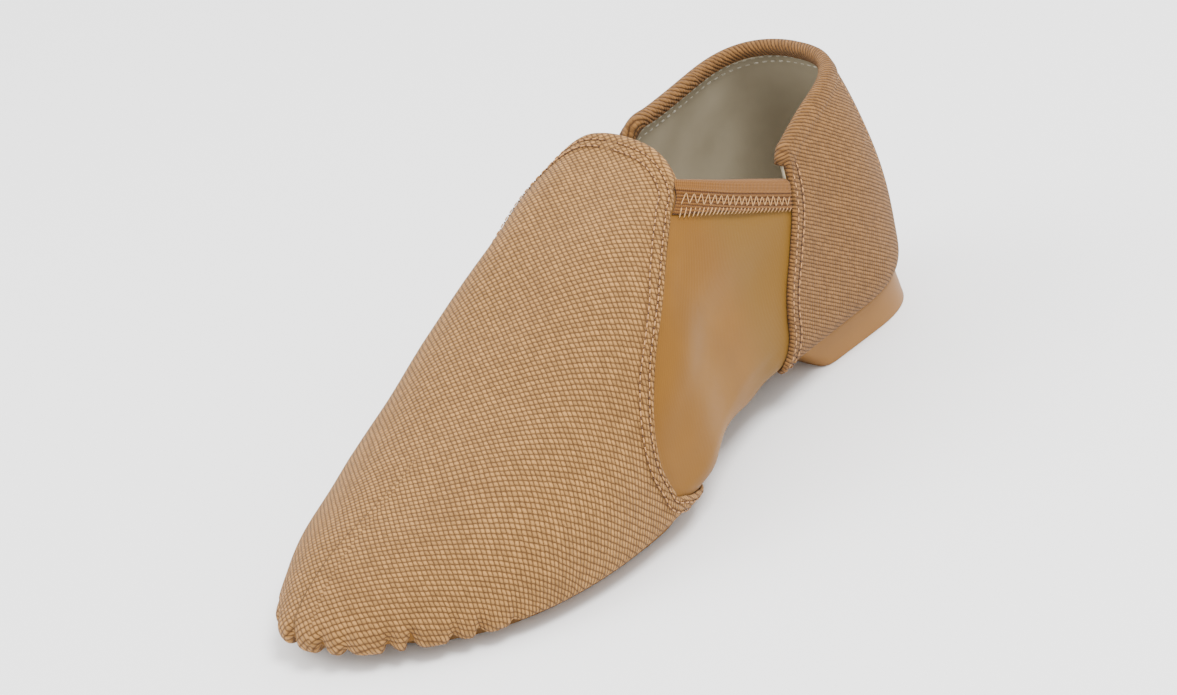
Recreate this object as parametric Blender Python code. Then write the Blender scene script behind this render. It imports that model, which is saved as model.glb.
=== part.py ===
"""Left jazz shoe with a split sole. Metres; +X to the toe, +Y to the outer side, +Z up, floor at Z = 0.

A stretch sock with a leather lining is one hollow shell. A canvas vamp and a canvas quarter are laid
over it, two elastic bindings hold its top edge, and a forefoot pad and a heel block carry it."""

from collections import namedtuple

import bpy
import numpy as np
from mathutils import Vector
from mathutils.bvhtree import BVHTree

# Overall sizes of the shoe
LENGTH = 0.250
BALL_WIDTH = 0.1035
INSTEP_HEIGHT = 0.094
HEEL_THICKNESS = 0.0090
PAD_THICKNESS = 0.0025

# Walls and clearances
SOCK_WALL = 0.0013
CANVAS_THICKNESS = 0.0008
ELASTIC_THICKNESS = 0.0012
INSOLE_THICKNESS = 0.0020
GAP = 0.0003
SEAT_GAP = 0.0005
SEAM = 0.0006
ELASTIC_HEIGHT = 0.0080

# Where the sections start to fan round the heel and round the toe
HEEL_CENTRE = 0.144 * LENGTH
TOE_CENTRE = 0.760 * LENGTH
HEEL_SQUARENESS = 2.3
TOE_SQUARENESS = 2.15

# The ridge of the instep lies to the inner side
RIDGE_SHIFT = -0.0386 * BALL_WIDTH

OVERLAY = GAP + CANVAS_THICKNESS
PAD_STACK = PAD_THICKNESS + SEAT_GAP + OVERLAY
HEEL_STACK = HEEL_THICKNESS + SEAT_GAP + OVERLAY

# at: share of LENGTH. outer, inner, centre: shares of BALL_WIDTH. crown, widest: shares of INSTEP_HEIGHT.
# lift: 0 on the forefoot pad, 1 on the heel block. rise, spread: squareness of the top. under: squareness of the
# turn to the underside.
Section = namedtuple("Section", "at outer inner centre crown widest lift rise spread under")
SECTIONS = (
    Section(0.000, 0.335, 0.322, 0.000, 1.160, 0.320, 1.00, 2.00, 2.45, 4.6),
    Section(0.136, 0.335, 0.322, 0.000, 1.160, 0.320, 1.00, 2.00, 2.45, 4.6),
    Section(0.264, 0.346, 0.315, 0.000, 1.120, 0.310, 1.00, 2.20, 2.70, 4.5),
    Section(0.320, 0.355, 0.314, 0.000, 1.060, 0.310, 0.98, 2.60, 3.10, 4.2),
    Section(0.410, 0.396, 0.333, 0.000, 0.965, 0.310, 0.72, 3.30, 3.70, 3.8),
    Section(0.450, 0.425, 0.342, 0.000, 0.930, 0.295, 0.48, 3.40, 3.70, 3.8),
    Section(0.520, 0.500, 0.367, 0.000, 0.840, 0.260, 0.10, 3.00, 3.30, 3.9),
    Section(0.588, 0.522, 0.439, 0.000, 0.721, 0.215, 0.00, 2.60, 2.95, 4.3),
    Section(0.652, 0.522, 0.464, 0.000, 0.610, 0.165, 0.00, 2.35, 2.70, 4.6),
    Section(0.716, 0.505, 0.475, 0.000, 0.506, 0.130, 0.00, 2.25, 2.60, 4.8),
    Section(0.760, 0.481, 0.470, 0.000, 0.445, 0.113, 0.02, 2.20, 2.50, 4.8),
    Section(0.830, 0.443, 0.434, -0.014, 0.372, 0.100, 0.06, 2.10, 2.40, 4.6),
    Section(0.900, 0.393, 0.380, -0.043, 0.320, 0.100, 0.13, 2.05, 2.30, 4.4),
    Section(1.000, 0.348, 0.265, -0.106, 0.262, 0.108, 0.30, 2.00, 2.20, 4.2),
)

# Height of the topline behind the vamp, as shares of INSTEP_HEIGHT, at shares of LENGTH. The quarter's stands
# above the elastic's.
Rim = namedtuple("Rim", "at quarter_outer quarter_inner elastic_outer elastic_inner")
RIMS = (
    Rim(0.000, 0.940, 0.940, 0.600, 0.660),
    Rim(0.060, 0.936, 0.938, 0.600, 0.660),
    Rim(0.136, 0.900, 0.912, 0.620, 0.680),
    Rim(0.200, 0.838, 0.893, 0.686, 0.717),
    Rim(0.214, 0.822, 0.890, 0.705, 0.733),
    Rim(0.226, 0.780, 0.888, 0.720, 0.747),
    Rim(0.258, 0.700, 0.878, 0.762, 0.784),
    Rim(0.272, 0.680, 0.842, 0.781, 0.800),
    Rim(0.320, 0.680, 0.800, 0.844, 0.856),
    Rim(0.380, 0.680, 0.800, 0.922, 0.925),
    Rim(0.432, 0.680, 0.800, 0.975, 0.975),
    Rim(0.600, 0.680, 0.800, 0.975, 0.975),
)

# Where two canvas edges cross the rows of the sock, as shares of LENGTH from the heel: from the underside centre
# (row 0) round the side to the topline (row RIM_ROW) and on to the centre of the instep (last row).
Edge = namedtuple("Edge", "row quarter_outer quarter_inner vamp_outer vamp_inner")
EDGES = (
    Edge(0, 0.288, 0.288, 0.496, 0.496),
    Edge(2, 0.297, 0.294, 0.506, 0.500),
    Edge(4, 0.316, 0.316, 0.534, 0.516),
    Edge(6, 0.304, 0.336, 0.584, 0.552),
    Edge(8, 0.288, 0.330, 0.612, 0.562),
    Edge(10, 0.262, 0.308, 0.562, 0.520),
    Edge(12, 0.236, 0.286, 0.424, 0.420),
    Edge(14, 0.224, 0.272, 0.392, 0.392),
    Edge(16, 0.224, 0.272, 0.374, 0.374),
    Edge(18, 0.224, 0.272, 0.366, 0.366),
)

# Plan of each sole piece: its four extreme points, x as a share of LENGTH and y as a share of BALL_WIDTH, and the
# squareness of the quarter that follows each. The heel block spreads towards the floor.
Extreme = namedtuple("Extreme", "x y squareness")
PAD_OUTLINE = (
    Extreme(0.928, -0.077, 2.25),
    Extreme(0.614, 0.433, 2.30),
    Extreme(0.504, 0.019, 2.40),
    Extreme(0.690, -0.411, 2.25),
)
HEEL_TOP = (
    Extreme(0.256, 0.000, 7.00),
    Extreme(0.128, 0.264, 2.80),
    Extreme(0.014, 0.000, 2.80),
    Extreme(0.128, -0.260, 7.00),
)
HEEL_BOTTOM = (
    Extreme(0.218, 0.000, 7.00),
    Extreme(0.124, 0.268, 2.80),
    Extreme(0.004, 0.000, 2.80),
    Extreme(0.124, -0.264, 7.00),
)

# Rows of the sock
UNDER_TURNS = (-90.0, -80.0, -65.0, -50.0, -35.0, -20.0, -7.0, 0.0)
SIDE_ROW = 7
ELASTIC_ROW = 12
RIM_ROW = 14
TOP_ROW = 18
FRONT_TURN = 52.0

# The stretch part starts SEAM ahead of the quarter's edge at equal heights, found in this many passes
STRETCH_PASSES = 3

# Columns of one side: heel fan, heel to quarter edge, quarter to vamp edge, vamp edge to toe, toe fan
HEEL_FAN = 6
QUARTER_COLUMNS = 4
ARCH_COLUMNS = 8
VAMP_COLUMNS = 6
TOE_FAN = 8
QUARTER_COLUMN = HEEL_FAN + QUARTER_COLUMNS
VAMP_COLUMN = QUARTER_COLUMN + ARCH_COLUMNS
TOE_COLUMN = VAMP_COLUMN + VAMP_COLUMNS
SIDE_COLUMNS = TOE_COLUMN + TOE_FAN

# Openings of the sock and of the canvas under the two sole pieces, and the edge of the insole
OPEN_ROW = 2
HEEL_OPEN_COLUMN = HEEL_FAN + 1
PAD_OPEN_COLUMN = VAMP_COLUMN + 2
INSOLE_ROW = 4

# Rings and spokes of a sole piece, and how far its bottom stays flat
RINGS = (0.35, 0.62, 0.78, 0.87, 0.94, 1.00)
SPOKES = 44
FLAT_ALLOWANCE = 0.0006


def smooth(at, stations, values):
    """Cubic through the stations; the slope at each comes from its neighbours."""
    slopes = np.gradient(values, stations)
    at = np.clip(at, stations[0], stations[-1])
    left = np.clip(np.searchsorted(stations, at) - 1, 0, len(stations) - 2)
    width = stations[left + 1] - stations[left]
    t = (at - stations[left]) / width
    start = (1 + 2 * t) * (1 - t) ** 2 * values[left] + t * (1 - t) ** 2 * width * slopes[left]
    end = t**2 * (3 - 2 * t) * values[left + 1] - t**2 * (1 - t) * width * slopes[left + 1]
    return start + end


def section(name, x):
    stations = np.array([row.at for row in SECTIONS])
    values = np.array([getattr(row, name) for row in SECTIONS])
    return smooth(x / LENGTH, stations, values)


def rim_height(x, outer, in_quarter):
    stations = np.array([row.at for row in RIMS])
    names = ("quarter_outer", "quarter_inner", "elastic_outer", "elastic_inner")
    found = [smooth(x / LENGTH, stations, np.array([getattr(row, name) for row in RIMS])) for name in names]
    quarter = np.where(outer, found[0], found[1])
    elastic = np.where(outer, found[2], found[3])
    return INSTEP_HEIGHT * np.where(in_quarter, quarter, elastic)


def edge_at(name, rows):
    stations = np.array([float(row.row) for row in EDGES])
    values = np.array([getattr(row, name) for row in EDGES])
    return LENGTH * smooth(rows.astype(float), stations, values)


def skin(spine, fan, outer, turn):
    """Outer face of the sock. spine: X on the centre line. fan: 0 across the shoe, -1 to the back, 1 to the
    toe. turn: -90 degrees at the underside centre, 0 at the widest height, 90 at the top centre."""
    squareness = np.where(fan < 0, HEEL_SQUARENESS, TOE_SQUARENESS)
    reach = np.where(fan < 0, OVERLAY - HEEL_CENTRE, LENGTH - OVERLAY - TOE_CENTRE)
    angle = np.abs(fan) * np.pi / 2
    across = np.abs(np.cos(angle)) ** (2 / squareness)
    along = np.abs(np.sin(angle)) ** (2 / squareness)
    far_x = spine + reach * np.where(fan == 0, 0, along)
    across = np.where(fan == 0, 1, across)
    half = np.where(outer, section("outer", far_x), section("inner", far_x)) * BALL_WIDTH - OVERLAY
    far_y = section("centre", far_x) * BALL_WIDTH + np.where(outer, 1, -1) * half * across
    above = turn >= 0
    turned = np.radians(turn)
    under = section("under", spine)
    spread = np.where(above, section("spread", spine), under)
    rise = np.where(above, section("rise", spine), under)
    out = np.abs(np.cos(turned)) ** (2 / spread)
    out = np.where(np.abs(turn) > 89.9, 0, out)
    up = np.abs(np.sin(turned)) ** (2 / rise)
    x = spine + (far_x - spine) * out
    middle = section("centre", x) * BALL_WIDTH
    middle = middle + np.where(above, RIDGE_SHIFT * (1 - out), 0)
    y = middle + (far_y - section("centre", x) * BALL_WIDTH) * out
    top = section("crown", x) * INSTEP_HEIGHT
    widest = section("widest", x) * INSTEP_HEIGHT
    bottom = PAD_STACK + section("lift", x) * (HEEL_STACK - PAD_STACK)
    z = np.where(above, widest + (top - widest) * up, widest - (widest - bottom) * up)
    return np.stack([x, y, z], -1)


def turn_at_height(spine, fan, outer, height_of):
    """The turn at which each column reaches the height given for the place it has reached."""
    turn = np.full(spine.shape, 40.0)
    for _ in range(12):
        low = skin(spine, fan, outer, turn * 0)
        here = skin(spine, fan, outer, turn)
        top = section("crown", here[..., 0]) * INSTEP_HEIGHT
        share = (height_of(here[..., 0]) - low[..., 2]) / (top - low[..., 2])
        wanted = np.clip(share, 0.01, 0.995) ** (section("rise", spine) / 2)
        turn = 0.5 * turn + 0.5 * np.degrees(np.arcsin(wanted))
    return turn


def row_turns(column, outer, spine, fan):
    """Turn of every row: fixed underneath, even steps up the side to the foot of the elastic, on to the topline,
    and on to the top centre."""
    in_quarter = column <= QUARTER_COLUMN
    rim = turn_at_height(spine, fan, outer, lambda x: rim_height(x, outer, in_quarter))
    low = turn_at_height(spine, fan, outer, lambda x: rim_height(x, outer, in_quarter) - ELASTIC_HEIGHT)
    held = np.minimum(column[:, 0], VAMP_COLUMN)
    held = np.where(outer[:, 0], held, len(held) - held)
    rim_turn = rim[held, RIM_ROW]
    low_turn = low[held, ELASTIC_ROW]
    ahead = np.clip((column[:, 0] - VAMP_COLUMN) / VAMP_COLUMNS, 0, 1)
    ahead = ahead * ahead * (3 - 2 * ahead)
    rim_turn = rim_turn * (1 - ahead) + FRONT_TURN * ahead
    low_turn = low_turn * (1 - ahead) + (FRONT_TURN - 14) * ahead
    turn = np.zeros(spine.shape)
    turn[:, : SIDE_ROW + 1] = UNDER_TURNS
    for r in range(SIDE_ROW + 1, TOP_ROW + 1):
        climb = (r - SIDE_ROW) / (ELASTIC_ROW - SIDE_ROW)
        between = (r - ELASTIC_ROW) / (RIM_ROW - ELASTIC_ROW)
        last = (r - RIM_ROW) / (TOP_ROW - RIM_ROW)
        if r <= ELASTIC_ROW:
            turn[:, r] = low_turn * climb
        elif r <= RIM_ROW:
            turn[:, r] = low_turn + (rim_turn - low_turn) * between
        else:
            turn[:, r] = rim_turn + (90 - rim_turn) * last
    return turn


def sock_grid():
    """Points of the sock by column and row, the columns going once round the shoe from the back."""
    side = np.arange(SIDE_COLUMNS + 1)
    column = np.concatenate([side, side[-2:0:-1]])
    outer = np.concatenate([side >= 0, side[-2:0:-1] < 0])
    rows = np.arange(TOP_ROW + 1)
    column, row = np.meshgrid(column, rows, indexing="ij")
    outer = np.repeat(outer[:, None], TOP_ROW + 1, axis=1)
    quarter = np.where(outer, edge_at("quarter_outer", row), edge_at("quarter_inner", row))
    vamp = np.where(outer, edge_at("vamp_outer", row), edge_at("vamp_inner", row))
    fan = np.clip((column - HEEL_FAN) / HEEL_FAN, -1, 0) + np.clip((column - TOE_COLUMN) / TOE_FAN, 0, 1)
    inner_share = np.clip((column - QUARTER_COLUMN - 1) / (ARCH_COLUMNS - 2), 0, 1)
    stretch = quarter
    for _ in range(STRETCH_PASSES):
        behind_edge = HEEL_CENTRE + (quarter - HEEL_CENTRE) * np.clip((column - HEEL_FAN) / QUARTER_COLUMNS, 0, 1)
        ahead_of_edge = stretch + SEAM + (vamp - stretch - 2 * SEAM) * inner_share
        spine = np.where(column <= QUARTER_COLUMN, behind_edge, ahead_of_edge)
        spine = spine + SEAM * np.clip(column - VAMP_COLUMN + 1, 0, 1)
        spine = spine + (TOE_CENTRE - vamp) * np.clip((column - VAMP_COLUMN) / VAMP_COLUMNS, 0, 1)
        turn = row_turns(column, outer, spine, fan)
        edge_x = []
        for edge, ahead in ((QUARTER_COLUMN, QUARTER_COLUMN + 1), (-QUARTER_COLUMN, -QUARTER_COLUMN - 1)):
            edge_x.append(np.interp(turn[ahead], turn[edge], quarter[edge]))
        stretch = np.where(outer, edge_x[0], edge_x[1])
    return skin(spine, fan, outer, turn)


def weld(grid):
    """Points that coincide made one, two triangles to a cell, and which cell each triangle belongs to."""
    columns, rows = grid.shape[:2]
    keys = np.round(grid.reshape(-1, 3) * 1e7).astype(np.int64)
    _, first, index = np.unique(keys, axis=0, return_index=True, return_inverse=True)
    index = index.reshape(columns, rows)
    points = grid.reshape(-1, 3)[first]
    triangles = []
    cells = []
    for c in range(columns):
        n = (c + 1) % columns
        for r in range(rows - 1):
            corners = (index[c, r], index[n, r], index[n, r + 1], index[c, r + 1])
            for pick in ((0, 1, 2), (0, 2, 3)):
                triangle = [corners[k] for k in pick]
                if len(set(triangle)) == 3:
                    triangles.append(triangle)
                    cells.append((c, r))
    triangles = np.array(triangles)
    cells = np.array(cells)
    volume = np.einsum("ij,ij->i", points[triangles[:, 0]], np.cross(points[triangles[:, 1]], points[triangles[:, 2]]))
    if volume.sum() < 0:
        triangles = triangles[:, ::-1]
    return points, triangles, cells


def outward(points, triangles):
    normals = np.zeros(points.shape)
    a, b, c = (points[triangles[:, k]] for k in range(3))
    face = np.cross(b - a, c - a)
    for k in range(3):
        np.add.at(normals, triangles[:, k], face)
    return normals / np.linalg.norm(normals, axis=1)[:, None]


def shell_faces(triangles, count):
    """Outer face, inner face turned round, and the rim that joins them along every free edge."""
    faces = [tuple(t) for t in triangles]
    faces += [tuple(t[::-1] + count) for t in triangles]
    directed = {(t[k], t[(k + 1) % 3]) for t in triangles for k in range(3)}
    for u, v in sorted(directed):
        if (v, u) not in directed:
            faces.append((v, u, u + count))
            faces.append((v, u + count, v + count))
    return faces


def add_object(name, points, faces, colour, roughness):
    used = sorted({k for face in faces for k in face})
    place = {k: n for n, k in enumerate(used)}
    mesh = bpy.data.meshes.new(name)
    mesh.from_pydata([tuple(points[k]) for k in used], [], [[place[k] for k in face] for face in faces])
    mesh.validate()
    material = bpy.data.materials.new(name)
    material.use_nodes = True
    shader = material.node_tree.nodes["Principled BSDF"]
    shader.inputs["Base Color"].default_value = (*colour, 1.0)
    shader.inputs["Roughness"].default_value = roughness
    mesh.materials.append(material)
    obj = bpy.data.objects.new(name, mesh)
    bpy.context.scene.collection.objects.link(obj)
    return obj


def add_shell(name, sock, keep, inside, outside, colour, roughness):
    """A sheet over the kept cells of the sock, between two distances from its outer face."""
    points, triangles, cells, normals = sock
    chosen = triangles[[bool(keep(c, r)) for c, r in cells]]
    both = np.concatenate([points + normals * outside, points + normals * inside])
    return add_object(name, both, shell_faces(chosen, len(points)), colour, roughness)


def outline(extremes, spokes):
    """Closed plan outline: four quarters, each from one extreme point to the next."""
    found = []
    for k, start in enumerate(extremes):
        end = extremes[(k + 1) % 4]
        for step in range(spokes // 4):
            t = np.pi / 2 * step / (spokes // 4)
            near = np.cos(t) ** (2 / start.squareness)
            away = np.sin(t) ** (2 / start.squareness)
            if k % 2 == 0:
                x = end.x + (start.x - end.x) * near
                y = start.y + (end.y - start.y) * away
            else:
                x = start.x + (end.x - start.x) * away
                y = end.y + (start.y - end.y) * near
            found.append((x, y))
    return np.array(found) * (LENGTH, BALL_WIDTH)


def rings_of(edge):
    centre = (edge.max(axis=0) + edge.min(axis=0)) / 2
    return [centre[None, :]] + [centre + (edge - centre) * share for share in RINGS]


def height_under(tree, plan):
    found = []
    for x, y in plan:
        hit = tree.ray_cast(Vector((x, y, -INSTEP_HEIGHT)), Vector((0, 0, 1)))
        found.append(hit[0].z)
    return np.array(found)


def add_sole_piece(name, sock, top_edge, bottom_edge, bottom_of, colour, roughness):
    """A block whose top lies SEAT_GAP below the canvas and whose bottom is given by bottom_of."""
    points, triangles, _, normals = sock
    lowered = points + normals * (OVERLAY + SEAT_GAP)
    tree = BVHTree.FromPolygons([tuple(p) for p in lowered], [tuple(int(k) for k in t) for t in triangles])
    top_plan = np.concatenate(rings_of(outline(top_edge, SPOKES)))
    bottom_plan = np.concatenate(rings_of(outline(bottom_edge, SPOKES)))
    top = np.column_stack([top_plan, height_under(tree, top_plan)])
    bottom = np.column_stack([bottom_plan, bottom_of(height_under(tree, bottom_plan))])
    count = len(top)
    faces = []
    for k in range(SPOKES):
        n = (k + 1) % SPOKES
        faces.append((0, 1 + k, 1 + n))
        for ring in range(len(RINGS) - 1):
            a = 1 + ring * SPOKES
            b = a + SPOKES
            faces.append((a + k, b + k, b + n))
            faces.append((a + k, b + n, a + n))
    under = [tuple(i + count for i in face[::-1]) for face in faces]
    last = 1 + (len(RINGS) - 1) * SPOKES
    wall = []
    for k in range(SPOKES):
        n = (k + 1) % SPOKES
        wall.append((last + k, last + k + count, last + n + count))
        wall.append((last + k, last + n + count, last + n))
    return add_object(name, np.concatenate([top, bottom]), faces + under + wall, colour, roughness)


def behind(c, edge):
    return min(c, COLUMNS - 1 - c) < edge


def main():
    for obj in list(bpy.data.objects):
        bpy.data.objects.remove(obj)
    points, triangles, cells = weld(sock_grid())
    sock = (points, triangles, cells, outward(points, triangles))

    def open_below(c, r):
        heel = r < OPEN_ROW and behind(c, HEEL_OPEN_COLUMN)
        pad = r < OPEN_ROW and not behind(c, PAD_OPEN_COLUMN)
        return heel or pad

    def in_sock(c, r):
        return not open_below(c, r) and (r < RIM_ROW or not behind(c, VAMP_COLUMN))

    made = [add_shell("upper", sock, in_sock, -SOCK_WALL, 0.0, (0.42, 0.24, 0.10), 0.7)]
    made.append(
        add_shell(
            "vamp",
            sock,
            lambda c, r: not behind(c, VAMP_COLUMN) and not open_below(c, r),
            GAP,
            OVERLAY,
            (0.55, 0.36, 0.20),
            0.85,
        )
    )
    made.append(
        add_shell(
            "quarter",
            sock,
            lambda c, r: behind(c, QUARTER_COLUMN) and r < RIM_ROW and not open_below(c, r),
            GAP,
            OVERLAY,
            (0.55, 0.36, 0.20),
            0.85,
        )
    )
    for name, low, high in (("binding_outer", 0, COLUMNS // 2), ("binding_inner", COLUMNS // 2, COLUMNS)):
        made.append(
            add_shell(
                name,
                sock,
                lambda c, r: (
                    low <= c < high
                    and ELASTIC_ROW <= r < RIM_ROW
                    and not behind(c, QUARTER_COLUMN + 1)
                    and behind(c, VAMP_COLUMN - 1)
                ),
                GAP,
                GAP + ELASTIC_THICKNESS,
                (0.50, 0.30, 0.14),
                0.8,
            )
        )
    made.append(
        add_shell(
            "insole",
            sock,
            lambda c, r: r < INSOLE_ROW,
            -SOCK_WALL - GAP - INSOLE_THICKNESS,
            -SOCK_WALL - GAP,
            (0.45, 0.40, 0.30),
            0.7,
        )
    )
    made.append(
        add_sole_piece(
            "forefoot_pad",
            sock,
            PAD_OUTLINE,
            PAD_OUTLINE,
            lambda top: np.maximum(0, top - PAD_THICKNESS - FLAT_ALLOWANCE),
            (0.50, 0.30, 0.14),
            0.6,
        )
    )
    made.append(
        add_sole_piece(
            "heel_block", sock, HEEL_TOP, HEEL_BOTTOM, lambda top: top * 0, (0.62, 0.45, 0.28), 0.6
        )
    )
    corners = np.concatenate([[v.co for v in obj.data.vertices] for obj in made])
    middle = (corners.max(axis=0) + corners.min(axis=0)) / 2
    for obj in made:
        for v in obj.data.vertices:
            v.co.x -= middle[0]
            v.co.y -= middle[1]


COLUMNS = 2 * SIDE_COLUMNS
main()
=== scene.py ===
import bmesh
import bpy
import numpy as np
from mathutils import Matrix, Vector
from mathutils.bvhtree import BVHTree


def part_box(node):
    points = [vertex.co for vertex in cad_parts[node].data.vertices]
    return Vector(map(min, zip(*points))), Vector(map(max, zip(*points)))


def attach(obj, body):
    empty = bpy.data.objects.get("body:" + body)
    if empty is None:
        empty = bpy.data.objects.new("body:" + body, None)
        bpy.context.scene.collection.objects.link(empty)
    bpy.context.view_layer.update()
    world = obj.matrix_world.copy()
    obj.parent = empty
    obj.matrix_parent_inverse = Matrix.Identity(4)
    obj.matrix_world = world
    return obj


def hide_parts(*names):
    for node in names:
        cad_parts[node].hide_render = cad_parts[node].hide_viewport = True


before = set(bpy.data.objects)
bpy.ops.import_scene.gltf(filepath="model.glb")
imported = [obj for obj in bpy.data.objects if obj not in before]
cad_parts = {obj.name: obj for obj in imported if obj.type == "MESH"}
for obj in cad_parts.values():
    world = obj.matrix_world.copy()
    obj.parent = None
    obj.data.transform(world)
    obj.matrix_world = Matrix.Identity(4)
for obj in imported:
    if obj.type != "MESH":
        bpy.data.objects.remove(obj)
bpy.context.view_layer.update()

# The sock: a smooth stretch fabric laminated to a thin foam, cut as one piece, closed by a seam along the
# middle of the underside. It is the body of the shoe; the canvas pieces are sewn over its front and back.
# Sizes are the shoe's own, in metres; sections run from the back of the heel (0) to the toe (1).
LENGTH = 0.250
BALL_WIDTH = 0.1035
INSTEP_HEIGHT = 0.094
SOCK_WALL = 0.0013
CANVAS_THICKNESS = 0.0008
GAP = 0.0003
SEAT_GAP = 0.0005
ELASTIC_HEIGHT = 0.0080
SEAM = 0.0006
HEEL_CENTRE = 0.144 * LENGTH
TOE_CENTRE = 0.760 * LENGTH
RIDGE_SHIFT = -0.0386 * BALL_WIDTH
OVERLAY = GAP + CANVAS_THICKNESS
PAD_STACK = 0.0025 + SEAT_GAP + OVERLAY
HEEL_STACK = 0.0090 + SEAT_GAP + OVERLAY
SECTION_NAMES = ("at", "outer", "inner", "centre", "crown", "widest", "lift", "rise", "spread", "under")
SECTIONS = np.array([
    (0.000, 0.335, 0.322, 0.000, 1.160, 0.320, 1.00, 2.00, 2.45, 4.6),
    (0.136, 0.335, 0.322, 0.000, 1.160, 0.320, 1.00, 2.00, 2.45, 4.6),
    (0.264, 0.346, 0.315, 0.000, 1.120, 0.310, 1.00, 2.20, 2.70, 4.5),
    (0.320, 0.355, 0.314, 0.000, 1.060, 0.310, 0.98, 2.60, 3.10, 4.2),
    (0.410, 0.396, 0.333, 0.000, 0.965, 0.310, 0.72, 3.30, 3.70, 3.8),
    (0.450, 0.425, 0.342, 0.000, 0.930, 0.295, 0.48, 3.40, 3.70, 3.8),
    (0.520, 0.500, 0.367, 0.000, 0.840, 0.260, 0.10, 3.00, 3.30, 3.9),
    (0.588, 0.522, 0.439, 0.000, 0.721, 0.215, 0.00, 2.60, 2.95, 4.3),
    (0.652, 0.522, 0.464, 0.000, 0.610, 0.165, 0.00, 2.35, 2.70, 4.6),
    (0.716, 0.505, 0.475, 0.000, 0.506, 0.130, 0.00, 2.25, 2.60, 4.8),
    (0.760, 0.481, 0.470, 0.000, 0.445, 0.113, 0.02, 2.20, 2.50, 4.8),
    (0.830, 0.443, 0.434, -0.014, 0.372, 0.100, 0.06, 2.10, 2.40, 4.6),
    (0.900, 0.393, 0.380, -0.043, 0.320, 0.100, 0.13, 2.05, 2.30, 4.4),
    (1.000, 0.348, 0.265, -0.106, 0.262, 0.108, 0.30, 2.00, 2.20, 4.2),
])
RIMS = np.array([
    (0.000, 0.940, 0.940, 0.600, 0.660),
    (0.060, 0.936, 0.938, 0.600, 0.660),
    (0.136, 0.900, 0.912, 0.620, 0.680),
    (0.200, 0.838, 0.893, 0.686, 0.717),
    (0.214, 0.822, 0.890, 0.705, 0.733),
    (0.226, 0.780, 0.888, 0.720, 0.747),
    (0.258, 0.700, 0.878, 0.762, 0.784),
    (0.272, 0.680, 0.842, 0.781, 0.800),
    (0.320, 0.680, 0.800, 0.844, 0.856),
    (0.380, 0.680, 0.800, 0.922, 0.925),
    (0.432, 0.680, 0.800, 0.975, 0.975),
    (0.600, 0.680, 0.800, 0.975, 0.975),
])
EDGE_NAMES = ("row", "quarter_outer", "quarter_inner", "vamp_outer", "vamp_inner")
EDGES = np.array([
    (0, 0.288, 0.288, 0.496, 0.496),
    (2, 0.297, 0.294, 0.506, 0.500),
    (4, 0.316, 0.316, 0.534, 0.516),
    (6, 0.304, 0.336, 0.584, 0.552),
    (8, 0.288, 0.330, 0.612, 0.562),
    (10, 0.262, 0.308, 0.562, 0.520),
    (12, 0.236, 0.286, 0.424, 0.420),
    (14, 0.224, 0.272, 0.392, 0.392),
    (16, 0.224, 0.272, 0.374, 0.374),
    (18, 0.224, 0.272, 0.366, 0.366),
])
UNDER_TURNS = (-90.0, -80.0, -65.0, -50.0, -35.0, -20.0, -7.0, 0.0)
SIDE_ROW, ELASTIC_ROW, RIM_ROW, TOP_ROW = 7, 12, 14, 18
HEEL_FAN, QUARTER_COLUMN, VAMP_COLUMN, TOE_COLUMN, SIDE_COLUMNS = 6, 10, 18, 24, 32
FRONT_TURN = 52.0


def smooth(at, stations, values):
    """Cubic through the stations; the slope at each comes from its neighbours."""
    slopes = np.gradient(values, stations)
    at = np.clip(at, stations[0], stations[-1])
    left = np.clip(np.searchsorted(stations, at) - 1, 0, len(stations) - 2)
    width = stations[left + 1] - stations[left]
    t = (at - stations[left]) / width
    start = (1 + 2 * t) * (1 - t) ** 2 * values[left] + t * (1 - t) ** 2 * width * slopes[left]
    end = t**2 * (3 - 2 * t) * values[left + 1] - t**2 * (1 - t) * width * slopes[left + 1]
    return start + end


def soft(x, low, high):
    """0 below low, 1 above high, with a smooth turn at both."""
    t = np.clip((x - low) / (high - low), 0, 1)
    return t * t * (3 - 2 * t)


def section(name, x):
    return smooth(x / LENGTH, SECTIONS[:, 0], SECTIONS[:, SECTION_NAMES.index(name)])


def edge_at(name, rows):
    return LENGTH * smooth(rows, EDGES[:, 0], EDGES[:, EDGE_NAMES.index(name)])


def rim_height(x, outer, column):
    """Height of the topline: the quarter's behind its edge, the elastic's ahead of it."""
    found = [smooth(x / LENGTH, RIMS[:, 0], RIMS[:, k]) for k in range(1, 5)]
    quarter = np.where(outer, found[0], found[1])
    elastic = np.where(outer, found[2], found[3])
    return INSTEP_HEIGHT * (quarter + (elastic - quarter) * np.clip(column - QUARTER_COLUMN, 0, 1))


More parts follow.
